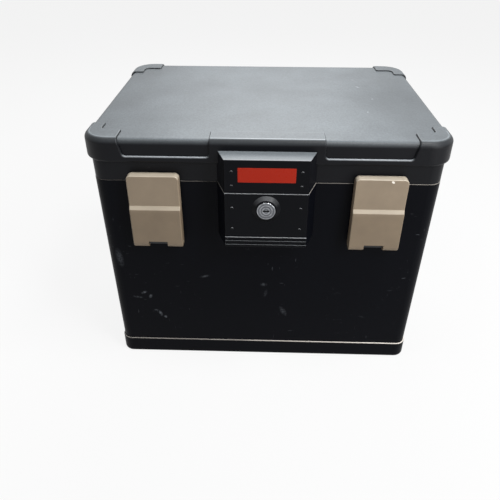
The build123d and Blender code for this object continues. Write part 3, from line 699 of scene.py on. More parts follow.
@dataclass(frozen=True)
class SatinPaint:
    """A sprayed satin coat over a moulded part, with chips at its edges.

    It gives the eye a warm, even champagne tone with a soft sheen, a darker cast
    towards the foot, a paler tone where a face looks up as a painted highlight from
    above, and a few pale nicks.
    """

    name: str
    colour: str
    top_lit_colour: str
    foot_colour: str
    foot_low_mm: float
    foot_high_mm: float
    chip_colour: str
    grain_mm: float
    roughness: float
    specular: float
    chips: tuple[Mark, ...]
    cloud_mm: float = 22.22
    nick_spacing_mm: float = 16.667
    nick_radii_mm: tuple[float, float] = (1.25, 0.833)
    nicked_share: float = 0.05

    def toned(self, tree: bpy.types.NodeTree, place: bpy.types.Node) -> bpy.types.NodeSocket:
        """Darkens the paint towards its foot, paints faces that look up paler as a painted
        highlight, and clouds it a little.

        Args:
            tree: the material's node tree.
            place: the coordinates' node.

        Returns:
            A colour socket.
        """
        point = place.outputs["Object"]
        height = add_node(tree, "ShaderNodeSeparateXYZ", links={0: point})
        foot = add_node(
            tree,
            "ShaderNodeMapRange",
            {
                "From Min": self.foot_high_mm * MM,
                "From Max": self.foot_low_mm * MM,
                "interpolation_type": "SMOOTHSTEP",
            },
            {"Value": height.outputs["Z"]},
        )
        tone = add_node(
            tree,
            "ShaderNodeMix",
            {"data_type": "RGBA", 6: linear(self.colour), 7: linear(self.foot_colour)},
            {0: foot.outputs["Result"]},
        )
        # Faces that look up are painted paler, as a highlight from above.
        facing = add_node(tree, "ShaderNodeSeparateXYZ", links={0: place.outputs["Normal"]})
        upward = add_node(
            tree,
            "ShaderNodeMapRange",
            {"From Min": 0.1, "From Max": 0.6},
            {"Value": facing.outputs["Z"]},
        )
        top_lit = add_node(
            tree,
            "ShaderNodeMix",
            {"data_type": "RGBA", 7: linear(self.top_lit_colour)},
            {0: upward.outputs["Result"], 6: tone.outputs[2]},
        )
        cloud = add_node(
            tree,
            "ShaderNodeTexNoise",
            {"Scale": per_metre(self.cloud_mm), "Detail": 4.0},
            {"Vector": point},
        )
        shade = add_node(
            tree,
            "ShaderNodeMapRange",
            {"From Min": 0.3, "From Max": 0.7, "To Min": 0.93, "To Max": 1.05},
            {"Value": cloud.outputs["Fac"]},
        )
        clouded = add_node(
            tree,
            "ShaderNodeVectorMath",
            {"operation": "SCALE"},
            {0: top_lit.outputs[2], "Scale": shade.outputs["Result"]},
        )
        return clouded.outputs[0]

    def chipped(
        self, tree: bpy.types.NodeTree, point: bpy.types.NodeSocket
    ) -> bpy.types.NodeSocket:
        """Finds where the paint is nicked or chipped.

        Args:
            tree: the material's node tree.
            point: the object's coordinates.

        Returns:
            A socket that is 1 on bare spots.
        """
        # Nicks a millimetre or two across, far apart.
        cells = add_node(
            tree,
            "ShaderNodeTexVoronoi",
            {"Scale": per_metre(self.nick_spacing_mm)},
            {"Vector": point},
        )
        rim, bare = (radius / self.nick_spacing_mm for radius in self.nick_radii_mm)
        nick = add_node(
            tree,
            "ShaderNodeMapRange",
            {"From Min": rim, "From Max": bare},
            {"Value": cells.outputs["Distance"]},
        )
        chance = add_node(tree, "ShaderNodeSeparateColor", links={0: cells.outputs["Color"]})
        rare = add_node(
            tree,
            "ShaderNodeMath",
            {"operation": "GREATER_THAN", 1: 1 - self.nicked_share},
            {0: chance.outputs[0]},
        )
        nicked = add_node(
            tree,
            "ShaderNodeMath",
            {"operation": "MULTIPLY"},
            {0: nick.outputs["Result"], 1: rare.outputs[0]},
        )
        # Single chips at their own places on the front.
        chipped = nicked.outputs[0]
        for chip in self.chips:
            chipped = add_node(
                tree,
                "ShaderNodeMath",
                {"operation": "MAXIMUM"},
                {0: chipped, 1: chip.shows(tree, point)},
            ).outputs[0]
        return chipped

    def material(self) -> bpy.types.Material:
        """Builds the material.

        Returns:
            The finished material.
        """
        surface, tree, place = start_finish(self.name)
        point = place.outputs["Object"]
        colour = add_node(
            tree,
            "ShaderNodeMix",
            {"data_type": "RGBA", 7: linear(self.chip_colour)},
            {0: self.chipped(tree, point), 6: self.toned(tree, place)},
        )
        grain = add_node(
            tree,
            "ShaderNodeTexNoise",
            {"Scale": per_metre(self.grain_mm), "Detail": 2.0},
            {"Vector": point},
        )
        relief = add_node(
            tree,
            "ShaderNodeBump",
            {"Strength": 0.35, "Distance": 0.1 * MM},
            {"Height": grain.outputs["Fac"]},
        )
        end_finish(
            tree,
            {
                "IOR": 1.5,
                "Specular IOR Level": self.specular,
                "Roughness": self.roughness,
            },
            {"Base Color": colour.outputs[2], "Normal": relief.outputs["Normal"]},
        )
        return surface


@dataclass(frozen=True)
class SmallFinish:
    """A plain-toned finish for small or hidden parts, with its own fine texture.

    The grain is isotropic, or drawn out along X as brushing is, and it shifts the
    colour, the roughness and the surface a little, so that no part looks flat.
    """

    name: str
    colour: str
    second_colour: str
    grain_mm: float
    roughness: float
    specular: float
    relief_mm: float
    stretch: float = 1.0
    spread: float = 0.06
    metallic: float = 0.0

    def material(self) -> bpy.types.Material:
        """Builds the material.

        Returns:
            The finished material.
        """
        surface, tree, place = start_finish(self.name)
        drawn = add_node(
            tree,
            "ShaderNodeMapping",
            {"Scale": (1 / self.stretch, 1.0, 1.0)},
            {"Vector": place.outputs["Object"]},
        )
        grain = add_node(
            tree,
            "ShaderNodeTexNoise",
            {"Scale": per_metre(self.grain_mm), "Detail": 3.0, "Roughness": 0.6},
            {"Vector": drawn.outputs["Vector"]},
        )
        colour = add_node(
            tree,
            "ShaderNodeMix",
            {"data_type": "RGBA", 6: linear(self.colour), 7: linear(self.second_colour)},
            {0: grain.outputs["Fac"]},
        )
        rough = add_node(
            tree,
            "ShaderNodeMapRange",
            {
                "From Min": 0.3,
                "From Max": 0.7,
                "To Min": max(0.02, self.roughness - self.spread),
                "To Max": self.roughness + self.spread,
            },
            {"Value": grain.outputs["Fac"]},
        )
        relief = add_node(
            tree,
            "ShaderNodeBump",
            {"Strength": 0.4, "Distance": self.relief_mm * MM},
            {"Height": grain.outputs["Fac"]},
        )
        end_finish(
            tree,
            {"Metallic": self.metallic, "Specular IOR Level": self.specular},
            {
                "Base Color": colour.outputs[2],
                "Roughness": rough.outputs["Result"],
                "Normal": relief.outputs["Normal"],
            },
        )
        return surface


@dataclass(frozen=True)
class TurnedChrome:
    """Chrome plate over brass turned about the lock's axis.

    It gives the eye a bright face with fine rings, whose hollows are painted greyer as shade.
    """

    name: str
    colour: str
    shaded_hollow_colour: str
    axis_mm: tuple[float, float]
    ring_mm: float
    smear_mm: float
    roughness: float

    def material(self) -> bpy.types.Material:
        """Builds the material.

        Returns:
            The finished material.
        """
        surface, tree, place = start_finish(self.name)
        split = add_node(tree, "ShaderNodeSeparateXYZ", links={0: place.outputs["Object"]})
        flat = add_node(
            tree, "ShaderNodeCombineXYZ", links={"X": split.outputs["X"], "Y": split.outputs["Z"]}
        )
        centre = (self.axis_mm[0] * MM, self.axis_mm[1] * MM, 0.0)
        away = add_node(
            tree,
            "ShaderNodeVectorMath",
            {"operation": "DISTANCE", 1: centre},
            {0: flat.outputs[0]},
        )
        turns = add_node(
            tree,
            "ShaderNodeMath",
            {"operation": "MULTIPLY", 1: math.tau / (self.ring_mm * MM)},
            {0: away.outputs["Value"]},
        )
        wave = add_node(tree, "ShaderNodeMath", {"operation": "SINE"}, {0: turns.outputs[0]})
        rings = add_node(
            tree, "ShaderNodeMapRange", {"From Min": -1.0}, {"Value": wave.outputs[0]}
        )
        smear = add_node(
            tree,
            "ShaderNodeTexNoise",
            {"Scale": per_metre(self.smear_mm), "Detail": 2.0},
            {"Vector": place.outputs["Object"]},
        )
        uneven = add_node(
            tree,
            "ShaderNodeMath",
            {"operation": "MULTIPLY"},
            {0: rings.outputs["Result"], 1: smear.outputs["Fac"]},
        )
        # Painted shade: the rings' hollows take the darker colour.
        colour = add_node(
            tree,
            "ShaderNodeMix",
            {"data_type": "RGBA", 6: linear(self.shaded_hollow_colour), 7: linear(self.colour)},
            {0: uneven.outputs[0]},
        )
        relief = add_node(
            tree,
            "ShaderNodeBump",
            {"Strength": 0.5, "Distance": 0.12 * MM},
            {"Height": rings.outputs["Result"]},
        )
        end_finish(
            tree,
            {"Metallic": 1.0, "Roughness": self.roughness},
            {"Base Color": colour.outputs[2], "Normal": relief.outputs["Normal"]},
        )
        return surface


# Black ABS of the lid: its panel carries most of the dust and the painted sheen.
LID_ABS = LidAbs(
    name="black_abs_lid_grained",
    colour="#0a0b0f",
    dust_and_sheen="#70767a",
    dust_and_sheen_share=0.95,
    ledge_highlight="#a3a8ad",
    ledge_top_mm=340.0,
    grain_mm=2.2,  # the real grain is about 1 mm, too fine to show at this distance
    grain_depth_mm=0.16,
    roughness=0.42,
    specular=0.15,
    scuffs=0.35,
    scuff_colour="#a3a7ac",
    mottle=0.22,
    scratches=(
        Mark((140.3, 53.1, 360.0), (6.5, 1.3, 4.0), (0.0, 0.0, -50.0)),
        Mark((139.1, -65.4, 360.0), (2.6, 1.3, 4.0), (0.0, 0.0, 60.0)),
        Mark((154.1, -7.0, 360.0), (1.8, 1.3, 4.0)),
        Mark((139.0, 92.0, 360.0), (3.0, 1.2, 4.0), (0.0, 0.0, -20.0)),
    ),
)

# Black ABS of the body: deeper, a little glossier, with scuffs from being carried.
BODY_ABS = MouldedAbs(
    name="black_abs_body_grained",
    colour="#06070c",
    dust_and_sheen="#a9a39c",
    dust_and_sheen_share=1.0,
    ledge_highlight="#dcd5cd",
    ledge_top_mm=40.0,
    grain_mm=1.6,
    grain_depth_mm=0.07,
    roughness=0.38,
    specular=0.055,
    scuffs=0.3,
    scuff_colour="#6c7076",
    mottle=0.3,
    turn=((0.1, 0.0), (0.3, 0.12), (0.5, 0.32), (0.7, 0.55), (0.88, 0.85), (1.0, 1.0)),
    # The right side takes more of the bloom than the left: painted light from the right.
    sides=(0.42, 1.35),
    scratches=(
        front_rub(-178.0, 119.0, 5.5, 2.6, -25.0, 0.7),
        front_rub(-169.0, 112.0, 2.8, 5.0, 20.0, 0.6),
        front_rub(-188.0, 110.0, 9.0, 2.2, 10.0, 0.35),
        front_rub(-157.0, 79.0, 3.0, 6.5, -20.0, 0.65),
        front_rub(-150.0, 72.0, 3.0, 3.4, 0.0, 0.7),
        front_rub(-163.0, 85.0, 4.0, 2.4, 0.0, 0.45),
        front_rub(-86.0, 151.0, 9.0, 2.6, -12.0, 0.36),
        front_rub(-1.0, 138.0, 6.0, 4.0, 0.0, 0.32),
        front_rub(2.0, 122.0, 3.0, 8.0, 15.0, 0.2),
        front_rub(29.0, 88.0, 4.5, 12.0, -28.0, 0.28),
        front_rub(-206.0, 181.0, 6.0, 19.0, -6.0, 0.3),
    ),
)

# Black ABS of the lock housing's face plates: a finer mould surface. Its upward lips and grooves
# take the bloom as painted highlights, dimmer on the lower ribs.
PLATE_ABS = MouldedAbs(
    name="black_abs_face_plate",
    colour="#07080c",
    dust_and_sheen="#d3d6da",
    dust_and_sheen_share=0.95,
    ledge_highlight="#7c7f82",
    ledge_top_mm=236.0,
    grain_mm=1.2,
    grain_depth_mm=0.04,
    roughness=0.32,
    specular=0.08,
    scuffs=0.15,
    scuff_colour="#46484c",
    mottle=0.2,
    turn=((0.2, 0.0), (0.45, 0.05), (0.62, 0.1), (0.8, 0.3), (1.0, 1.0)),
)

# The badge's plate takes less of the dust and painted sheen, and the studs' domes take a painted
# glint where they look up.
BADGE_PLATE_ABS = replace(
    PLATE_ABS, name="black_abs_badge_plate", dust_and_sheen="#a9adb1", dust_and_sheen_share=0.6
)
STUD_ABS = replace(
    PLATE_ABS,
    name="black_abs_stud_domes",
    ledge_top_mm=0.0,
    dust_and_sheen="#8a8c8e",
    turn=((0.1, 0.0), (0.3, 0.25), (0.6, 0.9), (1.0, 1.0)),
)

# Champagne satin paint of the latches.
LATCH_PAINT = SatinPaint(
    name="champagne_satin_paint",
    colour="#8a7b68",
    top_lit_colour="#a49a8a",
    foot_colour="#796a57",
    foot_low_mm=262.0,
    foot_high_mm=276.0,
    chip_colour="#efe8dc",
    grain_mm=1.4,
    roughness=0.4,
    specular=0.4,
    chips=(front_chip(157.3, 312.8, 2.6), front_chip(-106.4, 262.3, 1.8)),
)

# Chrome of the lock: its rings are drawn wider than a lathe's, so that they show, and their hollows
# are painted darker as shade.
LOCK_CHROME = TurnedChrome(
    name="turned_chrome_plate",
    colour="#b4b6ba",
    shaded_hollow_colour="#595b60",
    axis_mm=(0.0, 282.8),
    ring_mm=3.4,
    smear_mm=3.846,
    roughness=0.17,
)

# Small finishes, each named for its real surface.
SMALL_FINISHES = (
    # Enamel: an even, saturated red with a soft gloss.
    SmallFinish(
        "red_enamel", "#a32717", "#9a2514",
        grain_mm=3.0, roughness=0.3, spread=0.04, specular=0.1, relief_mm=0.02,
    ),
    # Zinc plate on pressed steel: dull silver with faint drawn lines.
    SmallFinish(
        "zinc_plate", "#9a9c9f", "#b4b5b6",
        grain_mm=0.8, stretch=6.0, roughness=0.36, metallic=1.0, specular=0.5, relief_mm=0.02,
    ),
    # Black powder coat on steel: fine orange peel, low sheen.
    SmallFinish(
        "black_powder_coat", "#141416", "#1c1c1f",
        grain_mm=0.9, roughness=0.48, specular=0.35, relief_mm=0.05,
    ),
    # Satin black plastic of the catches.
    SmallFinish(
        "satin_black_plastic", "#121316", "#1a1b1e",
        grain_mm=1.2, roughness=0.4, specular=0.35, relief_mm=0.03,
    ),
    # EPDM rubber, extruded: matt black with a faint greyish bloom.
    SmallFinish(
        "epdm_rubber", "#121212", "#1f1f1f",
        grain_mm=1.0, stretch=4.0, roughness=0.75, specular=0.3, relief_mm=0.05,
    ),
    # Vacuum-formed polystyrene of the liners: dark grey, matt, faintly pebbled.
    SmallFinish(
        "liner_polystyrene", "#1d1e20", "#292a2c",
        grain_mm=2.0, roughness=0.55, specular=0.4, relief_mm=0.06,
    ),
    # Cast mineral filling: chalky off-white with small pores.
    SmallFinish(
        "mineral_filling", "#b9b4a8", "#cbc6bb",
        grain_mm=2.5, roughness=0.9, spread=0.04, specular=0.3, relief_mm=0.2,
    ),
)


@dataclass
class Finishes:
    """Makes each finish once and hands it out."""

    made: dict[str, bpy.types.Material]

    def get(self, finish: Union[MouldedAbs, SatinPaint, TurnedChrome, str]) -> bpy.types.Material:
        """Finds or makes a finish.

        Args:
            finish: a finish, or the name of a small one.

        Returns:
            The material.
        """
        small = {source.name: source for source in SMALL_FINISHES}
        source = small[finish] if isinstance(finish, str) else finish
        if source.name not in self.made:
            self.made[source.name] = source.material()
        return self.made[source.name]


def dress(
    nodes: dict[str, bpy.types.Object],
    names: Iterable[str],
    material: bpy.types.Material,
) -> None:
    """Gives CAD nodes a material.

    Args:
        nodes: the CAD nodes by name.
        names: the nodes to dress.
        material: their new finish.
    """
    for name in names:
        slots = nodes[name].data.materials
        slots.clear()
        slots.append(material)
        log.info("node %s wears %s", name, material.name)


@dataclass
class MouldedShells:
    """The body's and the lid's outer shells, their liners, fillings and gasket."""

    nodes: dict[str, bpy.types.Object]
    finishes: Finishes

    def build(self) -> None:
        """Dresses the moulded pieces."""
        dress(self.nodes, ["lid_shell"], self.finishes.get(LID_ABS))
        dress(self.nodes, ["body_shell", "body_fill_plugs"], self.finishes.get(BODY_ABS))
        liner = self.finishes.get("liner_polystyrene")
        dress(self.nodes, ["body_liner", "lid_liner"], liner)
        filling = self.finishes.get("mineral_filling")
        dress(self.nodes, ["body_insulation", "lid_insulation"], filling)
        dress(self.nodes, ["lid_gasket"], self.finishes.get("epdm_rubber"))


class Recess(Enum):
    """What a fastener's head carries."""

    CROSS = "cross"
    DOME = "dome"


@dataclass(frozen=True)
class FastenerShape:
    """One fastener along +Z, its head's face at zero, in millimetres.

    A cross recess's arm and half width are shares of the head's radius, its depth is
    a share of the head's height, and its floor is drawn in to a share of its outline.
    A dome is a list of rings as shares of the head's radius and height.
    """

    recess: Recess
    head_radius: float
    head_height: float
    shank_radius: float
    shank_length: float
    sides: int = 24
    edge_width: float = 0.12
    edge_depth: float = 0.05
    cross_arm: float = 0.62
    cross_half_width: float = 0.14
    cross_depth: float = 0.55
    cross_floor: float = 0.7
    dome: tuple[tuple[float, float], ...] = ((0.3, 1.0), (0.72, 0.86), (0.94, 0.5), (1.0, 0.0))

    def ring(self, mesh: bmesh.types.BMesh, radius: float, z: float) -> list[bmesh.types.BMVert]:
        """Adds a ring of vertices at one height, from one step before the X axis."""
        steps = (math.tau * (i - 1) / self.sides for i in range(self.sides))
        return [
            mesh.verts.new((radius * MM * math.cos(a), radius * MM * math.sin(a), z * MM))
            for a in steps
        ]

    def sleeve(
        self, mesh: bmesh.types.BMesh, profile: list[tuple[float, float]]
    ) -> list[bmesh.types.BMVert]:
        """Turns a profile of radius and height pairs into rings joined by faces.

        Args:
            mesh: the mesh that takes the faces.
            profile: radius and height pairs from the head's rim down to the tip.

        Returns:
            The ring at the rim, which is still open.
        """
        rings = [self.ring(mesh, radius, z) for radius, z in profile]
        for upper, lower in zip(rings, rings[1:]):
            for i in range(self.sides):
                j = (i + 1) % self.sides
                mesh.faces.new((upper[i], lower[i], lower[j], upper[j]))
        mesh.faces.new(list(reversed(rings[-1])))
        return rings[0]

    def add_crossed(self, mesh: bmesh.types.BMesh) -> None:
        """Adds a countersunk screw, whose head has a cross sunk into it.

        Args:
            mesh: the mesh that takes it.
        """
        rim = self.sleeve(
            mesh,
            [
                (self.head_radius, -self.edge_depth),
                (self.shank_radius, -self.head_height),
                (self.shank_radius, -self.shank_length),
            ],
        )
        top = self.ring(mesh, self.head_radius - self.edge_width, 0.0)
        for i in range(self.sides):
            j = (i + 1) % self.sides
            mesh.faces.new((top[i], rim[i], rim[j], top[j]))
        arm = self.cross_arm * self.head_radius
        width = self.cross_half_width * self.head_radius
        corner = [(arm, -width), (arm, width), (width, width)]
        outline = []
        for quarter in range(4):
            turn = Matrix.Rotation(quarter * math.pi / 2, 2)
            outline += [turn @ Vector(c) for c in corner]
        lip = [mesh.verts.new((p.x * MM, p.y * MM, 0.0)) for p in outline]
        across, depth = self.cross_floor * MM, self.cross_depth * self.head_height * MM
        floor = [mesh.verts.new((p.x * across, p.y * across, -depth)) for p in outline]
        # Two steps of the head's rim face each corner of the cross.
        for i in range(len(lip)):
            j = (i + 1) % len(lip)
            mesh.faces.new((lip[i], top[2 * i], top[2 * i + 1], top[2 * j], lip[j]))
            mesh.faces.new((lip[j], floor[j], floor[i], lip[i]))
        mesh.faces.new(floor)

    def add_domed(self, mesh: bmesh.types.BMesh) -> None:
        """Adds a stud, whose dome rises in three rings to a small flat.

        Args:
            mesh: the mesh that takes it.
        """
        rings = [(r * self.head_radius, h * self.head_height) for r, h in self.dome]
        rings += [(self.shank_radius, 0.0), (self.shank_radius, -self.shank_length)]
        mesh.faces.new(self.sleeve(mesh, rings))

    def template(self, name: str) -> bpy.types.Object:
        """Builds the fastener that the rows repeat.

        Args:
            name: the name of the template.

        Returns:
            An object that stays out of the render.
        """
        mesh = bmesh.new()
        if self.recess is Recess.CROSS:
            self.add_crossed(mesh)
        else:
            self.add_domed(mesh)
        bmesh.ops.recalc_face_normals(mesh, faces=mesh.faces)
        data = bpy.data.meshes.new(name)
        mesh.to_mesh(data)
        mesh.free()
        shape = add_object(name, data)
        shape.hide_render = True
        return shape


# The stud of the lock housing's face plates, pressed in from the front.
DOMED_STUD = FastenerShape(
    Recess.DOME, head_radius=2.0, head_height=0.6, shank_radius=1.4, shank_length=6.0, sides=20
)

# The screw of the latch brackets and the hinges, countersunk into them.
CROSS_SCREW = FastenerShape(
    Recess.CROSS, head_radius=3.8, head_height=1.8, shank_radius=2.0, shank_length=5.7
)


@dataclass
class FastenerRow:
    """Fasteners repeated at a set of places by a node tree."""

    name: str
    body: Body
    slot: Slot
    stands_for: str
    places_mm: list[tuple[float, float, float]]
    faces: tuple[float, float, float]
    shape: FastenerShape
    seed: int

    def tree(self) -> bpy.types.NodeTree:
        """Builds the tree that sets one fastener at each point.

        Returns:
            The node tree, with named inputs.
        """
        tree = bpy.data.node_groups.new(f"{self.name}_layout", "GeometryNodeTree")
        for name, way, kind in (
            ("Places", "INPUT", "NodeSocketGeometry"),
            ("Fastener", "INPUT", "NodeSocketObject"),
            ("Tilt", "INPUT", "NodeSocketVector"),
            ("Largest Twist", "INPUT", "NodeSocketFloat"),
            ("Seed", "INPUT", "NodeSocketInt"),
            ("Finish", "INPUT", "NodeSocketMaterial"),
            ("Fasteners", "OUTPUT", "NodeSocketGeometry"),
        ):
            tree.interface.new_socket(name, in_out=way, socket_type=kind)
        given = add_node(tree, "NodeGroupInput").outputs
        template = add_node(
            tree,
            "GeometryNodeObjectInfo",
            {"As Instance": True},
            {"Object": given["Fastener"]},
        )
        points = add_node(tree, "GeometryNodeMeshToPoints", links={"Mesh": given["Places"]})
        tilt = add_node(tree, "FunctionNodeEulerToRotation", links={0: given["Tilt"]})
        placed = add_node(
            tree,
            "GeometryNodeInstanceOnPoints",
            links={
                "Points": points.outputs[0],
                "Instance": template.outputs["Geometry"],
                "Rotation": tilt.outputs[0],
            },
        )
        twist = add_node(
            tree,
            "FunctionNodeRandomValue",
            {"data_type": "FLOAT"},
            {3: given["Largest Twist"], "Seed": given["Seed"]},
        )
        about = add_node(tree, "ShaderNodeCombineXYZ", links={"Z": twist.outputs[1]})
        turn = add_node(tree, "FunctionNodeEulerToRotation", links={0: about.outputs[0]})
        turned = add_node(
            tree,
            "GeometryNodeRotateInstances",
            {"Local Space": True},
            {"Instances": placed.outputs[0], "Rotation": turn.outputs[0]},
        )
        real = add_node(
            tree, "GeometryNodeRealizeInstances", links={"Geometry": turned.outputs[0]}
        )
        coated = add_node(
            tree,
            "GeometryNodeSetMaterial",
            links={"Geometry": real.outputs[0], "Material": given["Finish"]},
        )
        add_node(tree, "NodeGroupOutput", links={0: coated.outputs[0]})
        return tree

    def build(self, finish: bpy.types.Material) -> bpy.types.Object:
        """Builds the row as one plain mesh that stands for its CAD node.

        Args:
            finish: the fasteners' material.

        Returns:
            The finished piece.
        """
        points = bpy.data.meshes.new(f"{self.name}_places")
        points.from_pydata([tuple(c * MM for c in place) for place in self.places_mm], [], [])
        holder = add_object(f"{self.name}_places", points)
        template = self.shape.template(f"{self.name}_template")
        tree = self.tree()
        modifier = holder.modifiers.new("layout", "NODES")
        modifier.node_group = tree
        tilt = Vector((0, 0, 1)).rotation_difference(Vector(self.faces)).to_euler()
        values = {
            "Fastener": template,
            "Tilt": tuple(tilt),
            "Largest Twist": math.tau,
            "Seed": self.seed,
            "Finish": finish,
        }
        for item in tree.interface.items_tree:
            if item.in_out == "INPUT" and item.name in values:
                modifier[item.identifier] = values[item.name]
        bpy.context.view_layer.update()
        evaluated = holder.evaluated_get(bpy.context.evaluated_depsgraph_get())
        data = bpy.data.meshes.new_from_object(evaluated)
        data.name = self.name
        holder.modifiers.remove(modifier)
        bpy.data.objects.remove(holder)
        bpy.data.objects.remove(template)
        data.polygons.foreach_set("use_smooth", [True] * len(data.polygons))
        data.set_sharp_from_angle(angle=math.radians(35))
        piece = add_object(self.name, data)
        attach(piece, self.body.value)
        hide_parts(self.stands_for)
        log.info("%s: %d fasteners, %d faces", self.name, len(self.places_mm), len(data.polygons))
        return piece


@dataclass
class LockHousing:
    """The two face plates, the badge, the studs and the cam lock."""

    nodes: dict[str, bpy.types.Object]
    finishes: Finishes
    stud_across: float = 43.0
    upper_rows: tuple[float, float] = (332.2, 313.4)
    lower_rows: tuple[float, float] = (283.0, 253.3)
    upper_face: float = -207.7
    lower_face: float = -208.0

    def studs(self, rows: tuple[float, float], face: float) -> list[tuple[float, float, float]]:
        """Lists the places of one plate's studs."""
        return [(x, face, z) for x in (-self.stud_across, self.stud_across) for z in rows]

    def build(self) -> None:
        """Dresses the housing and adds its studs."""
        dress(self.nodes, ["badge_plate"], self.finishes.get(BADGE_PLATE_ABS))
        dress(self.nodes, ["lock_plate"], self.finishes.get(PLATE_ABS))
        dress(self.nodes, ["badge"], self.finishes.get("red_enamel"))
        dress(self.nodes, ["lock_barrel", "lock_core"], self.finishes.get(LOCK_CHROME))
        zinc = self.finishes.get("zinc_plate")
        steel = ["lock_nut", "lock_cam", "cam_screw", "lock_strike", "strike_screws"]
        dress(self.nodes, steel, zinc)
        black = self.finishes.get(STUD_ABS)
        for name, body, rows, face in (
            ("badge_plate_domed_studs", Body.LID, self.upper_rows, self.upper_face),
            ("lock_plate_domed_studs", Body.CASE, self.lower_rows, self.lower_face),
        ):
            FastenerRow(
                name,
                body,
                Slot.BLACK,
                name.replace("_domed", ""),
                self.studs(rows, face),
                (0.0, -1.0, 0.0),
                DOMED_STUD,
                seed=3,
            ).build(black)


@dataclass
class LatchPair:
    """Both latches with their brackets, pins, screws and catches."""

    nodes: dict[str, bpy.types.Object]
    finishes: Finishes
    across: float = 144.4
    screw_rows: tuple[float, float] = (234.5, 244.5)
    bracket_front: float = -178.0

    def build(self) -> None:
        """Dresses the latches and adds their bracket screws."""
        dress(self.nodes, ["left_latch", "right_latch"], self.finishes.get(LATCH_PAINT))
        coat = self.finishes.get("black_powder_coat")
        dress(self.nodes, ["left_latch_bracket", "right_latch_bracket"], coat)
        zinc = self.finishes.get("zinc_plate")
        dress(self.nodes, ["left_latch_pin", "right_latch_pin"], zinc)
        black = self.finishes.get("satin_black_plastic")
        dress(self.nodes, ["left_latch_catch", "right_latch_catch"], black)
        places = [
            (x, self.bracket_front, z) for x in (-self.across, self.across) for z in self.screw_rows
        ]
        FastenerRow(
            "bracket_cross_screws",
            Body.CASE,
            Slot.ZINC,
            "bracket_screws",
            places,
            (0.0, -1.0, 0.0),
            CROSS_SCREW,
            seed=11,
        ).build(zinc)


@dataclass
class RearHinges:
    """Both hinges with their pins and screws."""

    nodes: dict[str, bpy.types.Object]
    finishes: Finishes
    columns: tuple[float, float, float, float] = (-158.0, -122.0, 122.0, 158.0)
    body_rows: tuple[float, float] = (269.6, 289.6)
    lid_row: float = 318.5
    leaf_face: float = 179.0

    def build(self) -> None:
        """Dresses the hinges and adds their screws."""
        coat = self.finishes.get("black_powder_coat")
        for part in ("body", "lid"):
            dress(self.nodes, [f"left_{part}_hinge_leaf", f"right_{part}_hinge_leaf"], coat)
        zinc = self.finishes.get("zinc_plate")
        dress(self.nodes, ["left_hinge_pin", "right_hinge_pin"], zinc)
        for name, body, stands_for, rows in (
            ("body_leaf_cross_screws", Body.CASE, "body_hinge_screws", self.body_rows),
            ("lid_leaf_cross_screws", Body.LID, "lid_hinge_screws", (self.lid_row,)),
        ):
            places = [(x, self.leaf_face, z) for x in self.columns for z in rows]
            FastenerRow(
                name, body, Slot.ZINC, stands_for, places, (0.0, 1.0, 0.0), CROSS_SCREW, seed=7
            ).build(zinc)


@dataclass
class Lamp:
    """One soft box: where it stands, what it points at, its size and its level."""

    name: str
    stands: tuple[float, float, float]
    aims: tuple[float, float, float]
    width: float
    height: float
    watts: float

    def build(self) -> None:
        """Adds the lamp to the scene."""
        data = bpy.data.lights.new(self.name, "AREA")
        data.shape = "RECTANGLE"
        data.size = self.width
        data.size_y = self.height
        data.energy = self.watts
        lamp = add_object(self.name, data)
        lamp.location = self.stands
        aim = Vector(self.aims) - Vector(self.stands)
        lamp.rotation_euler = aim.to_track_quat("-Z", "Y").to_euler()


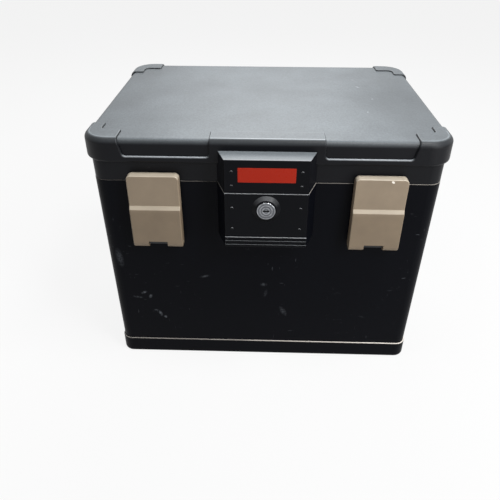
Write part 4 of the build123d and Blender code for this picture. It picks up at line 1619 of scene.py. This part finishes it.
@dataclass
class Studio:
    """The floor, the world, the lamps and the camera."""

    lens_pixels: float = 528.57
    frame_pixels: float = 500.0
    camera_mm: tuple[float, float, float] = (-3.26, -787.72, 603.48)
    pitch: float = 0.5829
    yaw: float = -0.0289
    roll: float = 0.0027
    floor_size: float = 12.0
    shadow_share: float = 0.12
    world_level: float = 0.1

    def add_camera(self) -> None:
        """Places the camera at the photograph's viewing angle."""
        data = bpy.data.cameras.new("front_camera")
        data.sensor_width = 36.0
        data.sensor_fit = "HORIZONTAL"
        data.lens = self.lens_pixels / self.frame_pixels * data.sensor_width
        data.clip_start = 0.02
        camera = add_object("front_camera", data)
        ahead = Vector(
            (
                math.sin(self.yaw) * math.cos(self.pitch),
                math.cos(self.yaw) * math.cos(self.pitch),
                -math.sin(self.pitch),
            )
        )
        right = Vector((math.cos(self.yaw), -math.sin(self.yaw), 0.0))
        upright = right.cross(ahead)
        across = math.cos(self.roll) * right + math.sin(self.roll) * upright
        upward = math.cos(self.roll) * upright - math.sin(self.roll) * right
        axes = Matrix((across, upward, -ahead)).transposed()
        place = Matrix.Translation(Vector(self.camera_mm) * MM)
        camera.matrix_world = place @ axes.to_4x4()
        bpy.context.scene.camera = camera

    def seen_directly(self, tree: bpy.types.NodeTree) -> bpy.types.NodeSocket:
        """Finds whether a ray comes from the camera, a reflection or through glass.

        Args:
            tree: the node tree to work in.

        Returns:
            A socket that is 1 for such rays.
        """
        path = add_node(tree, "ShaderNodeLightPath")
        first = add_node(
            tree,
            "ShaderNodeMath",
            {"operation": "MAXIMUM"},
            {0: path.outputs["Is Camera Ray"], 1: path.outputs["Is Glossy Ray"]},
        )
        both = add_node(
            tree,
            "ShaderNodeMath",
            {"operation": "MAXIMUM"},
            {0: first.outputs[0], 1: path.outputs["Is Transmission Ray"]},
        )
        return both.outputs[0]

    def add_world(self) -> None:
        """Lights the scene evenly and shows white where the floor ends."""
        world = bpy.data.worlds.new("studio_world")
        bpy.context.scene.world = world
        world.use_nodes = True
        tree = world.node_tree
        tree.nodes.clear()
        fill = add_node(
            tree,
            "ShaderNodeBackground",
            {"Color": linear("#f4f6fa"), "Strength": self.world_level},
        )
        shown = add_node(tree, "ShaderNodeBackground", {"Color": linear("#ffffff")})
        mixed = add_node(
            tree,
            "ShaderNodeMixShader",
            links={0: self.seen_directly(tree), 1: fill.outputs[0], 2: shown.outputs[0]},
        )
        add_node(tree, "ShaderNodeOutputWorld", links={"Surface": mixed.outputs[0]})

    def add_floor(self) -> None:
        """Lays a white floor that keeps a soft shadow."""
        data = bpy.data.meshes.new("studio_floor")
        half = self.floor_size / 2
        corners = [(-half, -half, 0), (half, -half, 0), (half, half, 0), (-half, half, 0)]
        data.from_pydata(corners, [], [(0, 1, 2, 3)])
        floor = add_object("studio_floor", data)
        surface = bpy.data.materials.new("white_floor_paper")
        surface.use_nodes = True
        tree = surface.node_tree
        tree.nodes.clear()
        paper = add_node(
            tree, "ShaderNodeBsdfDiffuse", {"Color": linear("#c8c8c8"), "Roughness": 0.5}
        )
        white = add_node(tree, "ShaderNodeEmission", {"Color": linear("#ffffff"), "Strength": 1.0})
        share = add_node(
            tree,
            "ShaderNodeMath",
            {"operation": "MULTIPLY", 1: 1 - self.shadow_share},
            {0: self.seen_directly(tree)},
        )
        mixed = add_node(
            tree,
            "ShaderNodeMixShader",
            links={0: share.outputs[0], 1: paper.outputs[0], 2: white.outputs[0]},
        )
        add_node(tree, "ShaderNodeOutputMaterial", links={"Surface": mixed.outputs[0]})
        data.materials.append(surface)

    def build(self) -> None:
        """Builds the whole studio."""
        self.add_camera()
        self.add_world()
        self.add_floor()
        for lamp in (
            Lamp("overhead_left", (-0.5, -0.3, 1.6), (0.0, -0.1, 0.3), 0.5, 0.4, 5.0),
            Lamp("overhead_right", (0.5, -0.35, 1.6), (0.0, -0.1, 0.3), 0.5, 0.4, 19.0),
            Lamp("front_high_box", (0.8, -1.0, 1.3), (0.0, -0.1, 0.3), 0.4, 0.4, 12.0),
            Lamp("rear_soft_box", (0.0, 1.1, 1.4), (0.0, 0.0, 0.35), 0.6, 0.6, 16.0),
            Lamp("right_soft_box", (0.8, -0.85, 0.4), (0.1, -0.17, 0.2), 0.5, 0.5, 4.2),
        ):
            lamp.build()
        bpy.context.scene.view_settings.view_transform = "Standard"


def main() -> None:
    """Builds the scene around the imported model."""
    logging.basicConfig(level=logging.INFO, format="%(name)s: %(message)s")
    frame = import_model()
    nodes = frame["nodes"]
    finishes = Finishes({})
    Studio().build()
    MouldedShells(nodes, finishes).build()
    LockHousing(nodes, finishes).build()
    LatchPair(nodes, finishes).build()
    RearHinges(nodes, finishes).build()


if __name__ == "__main__":
    main()
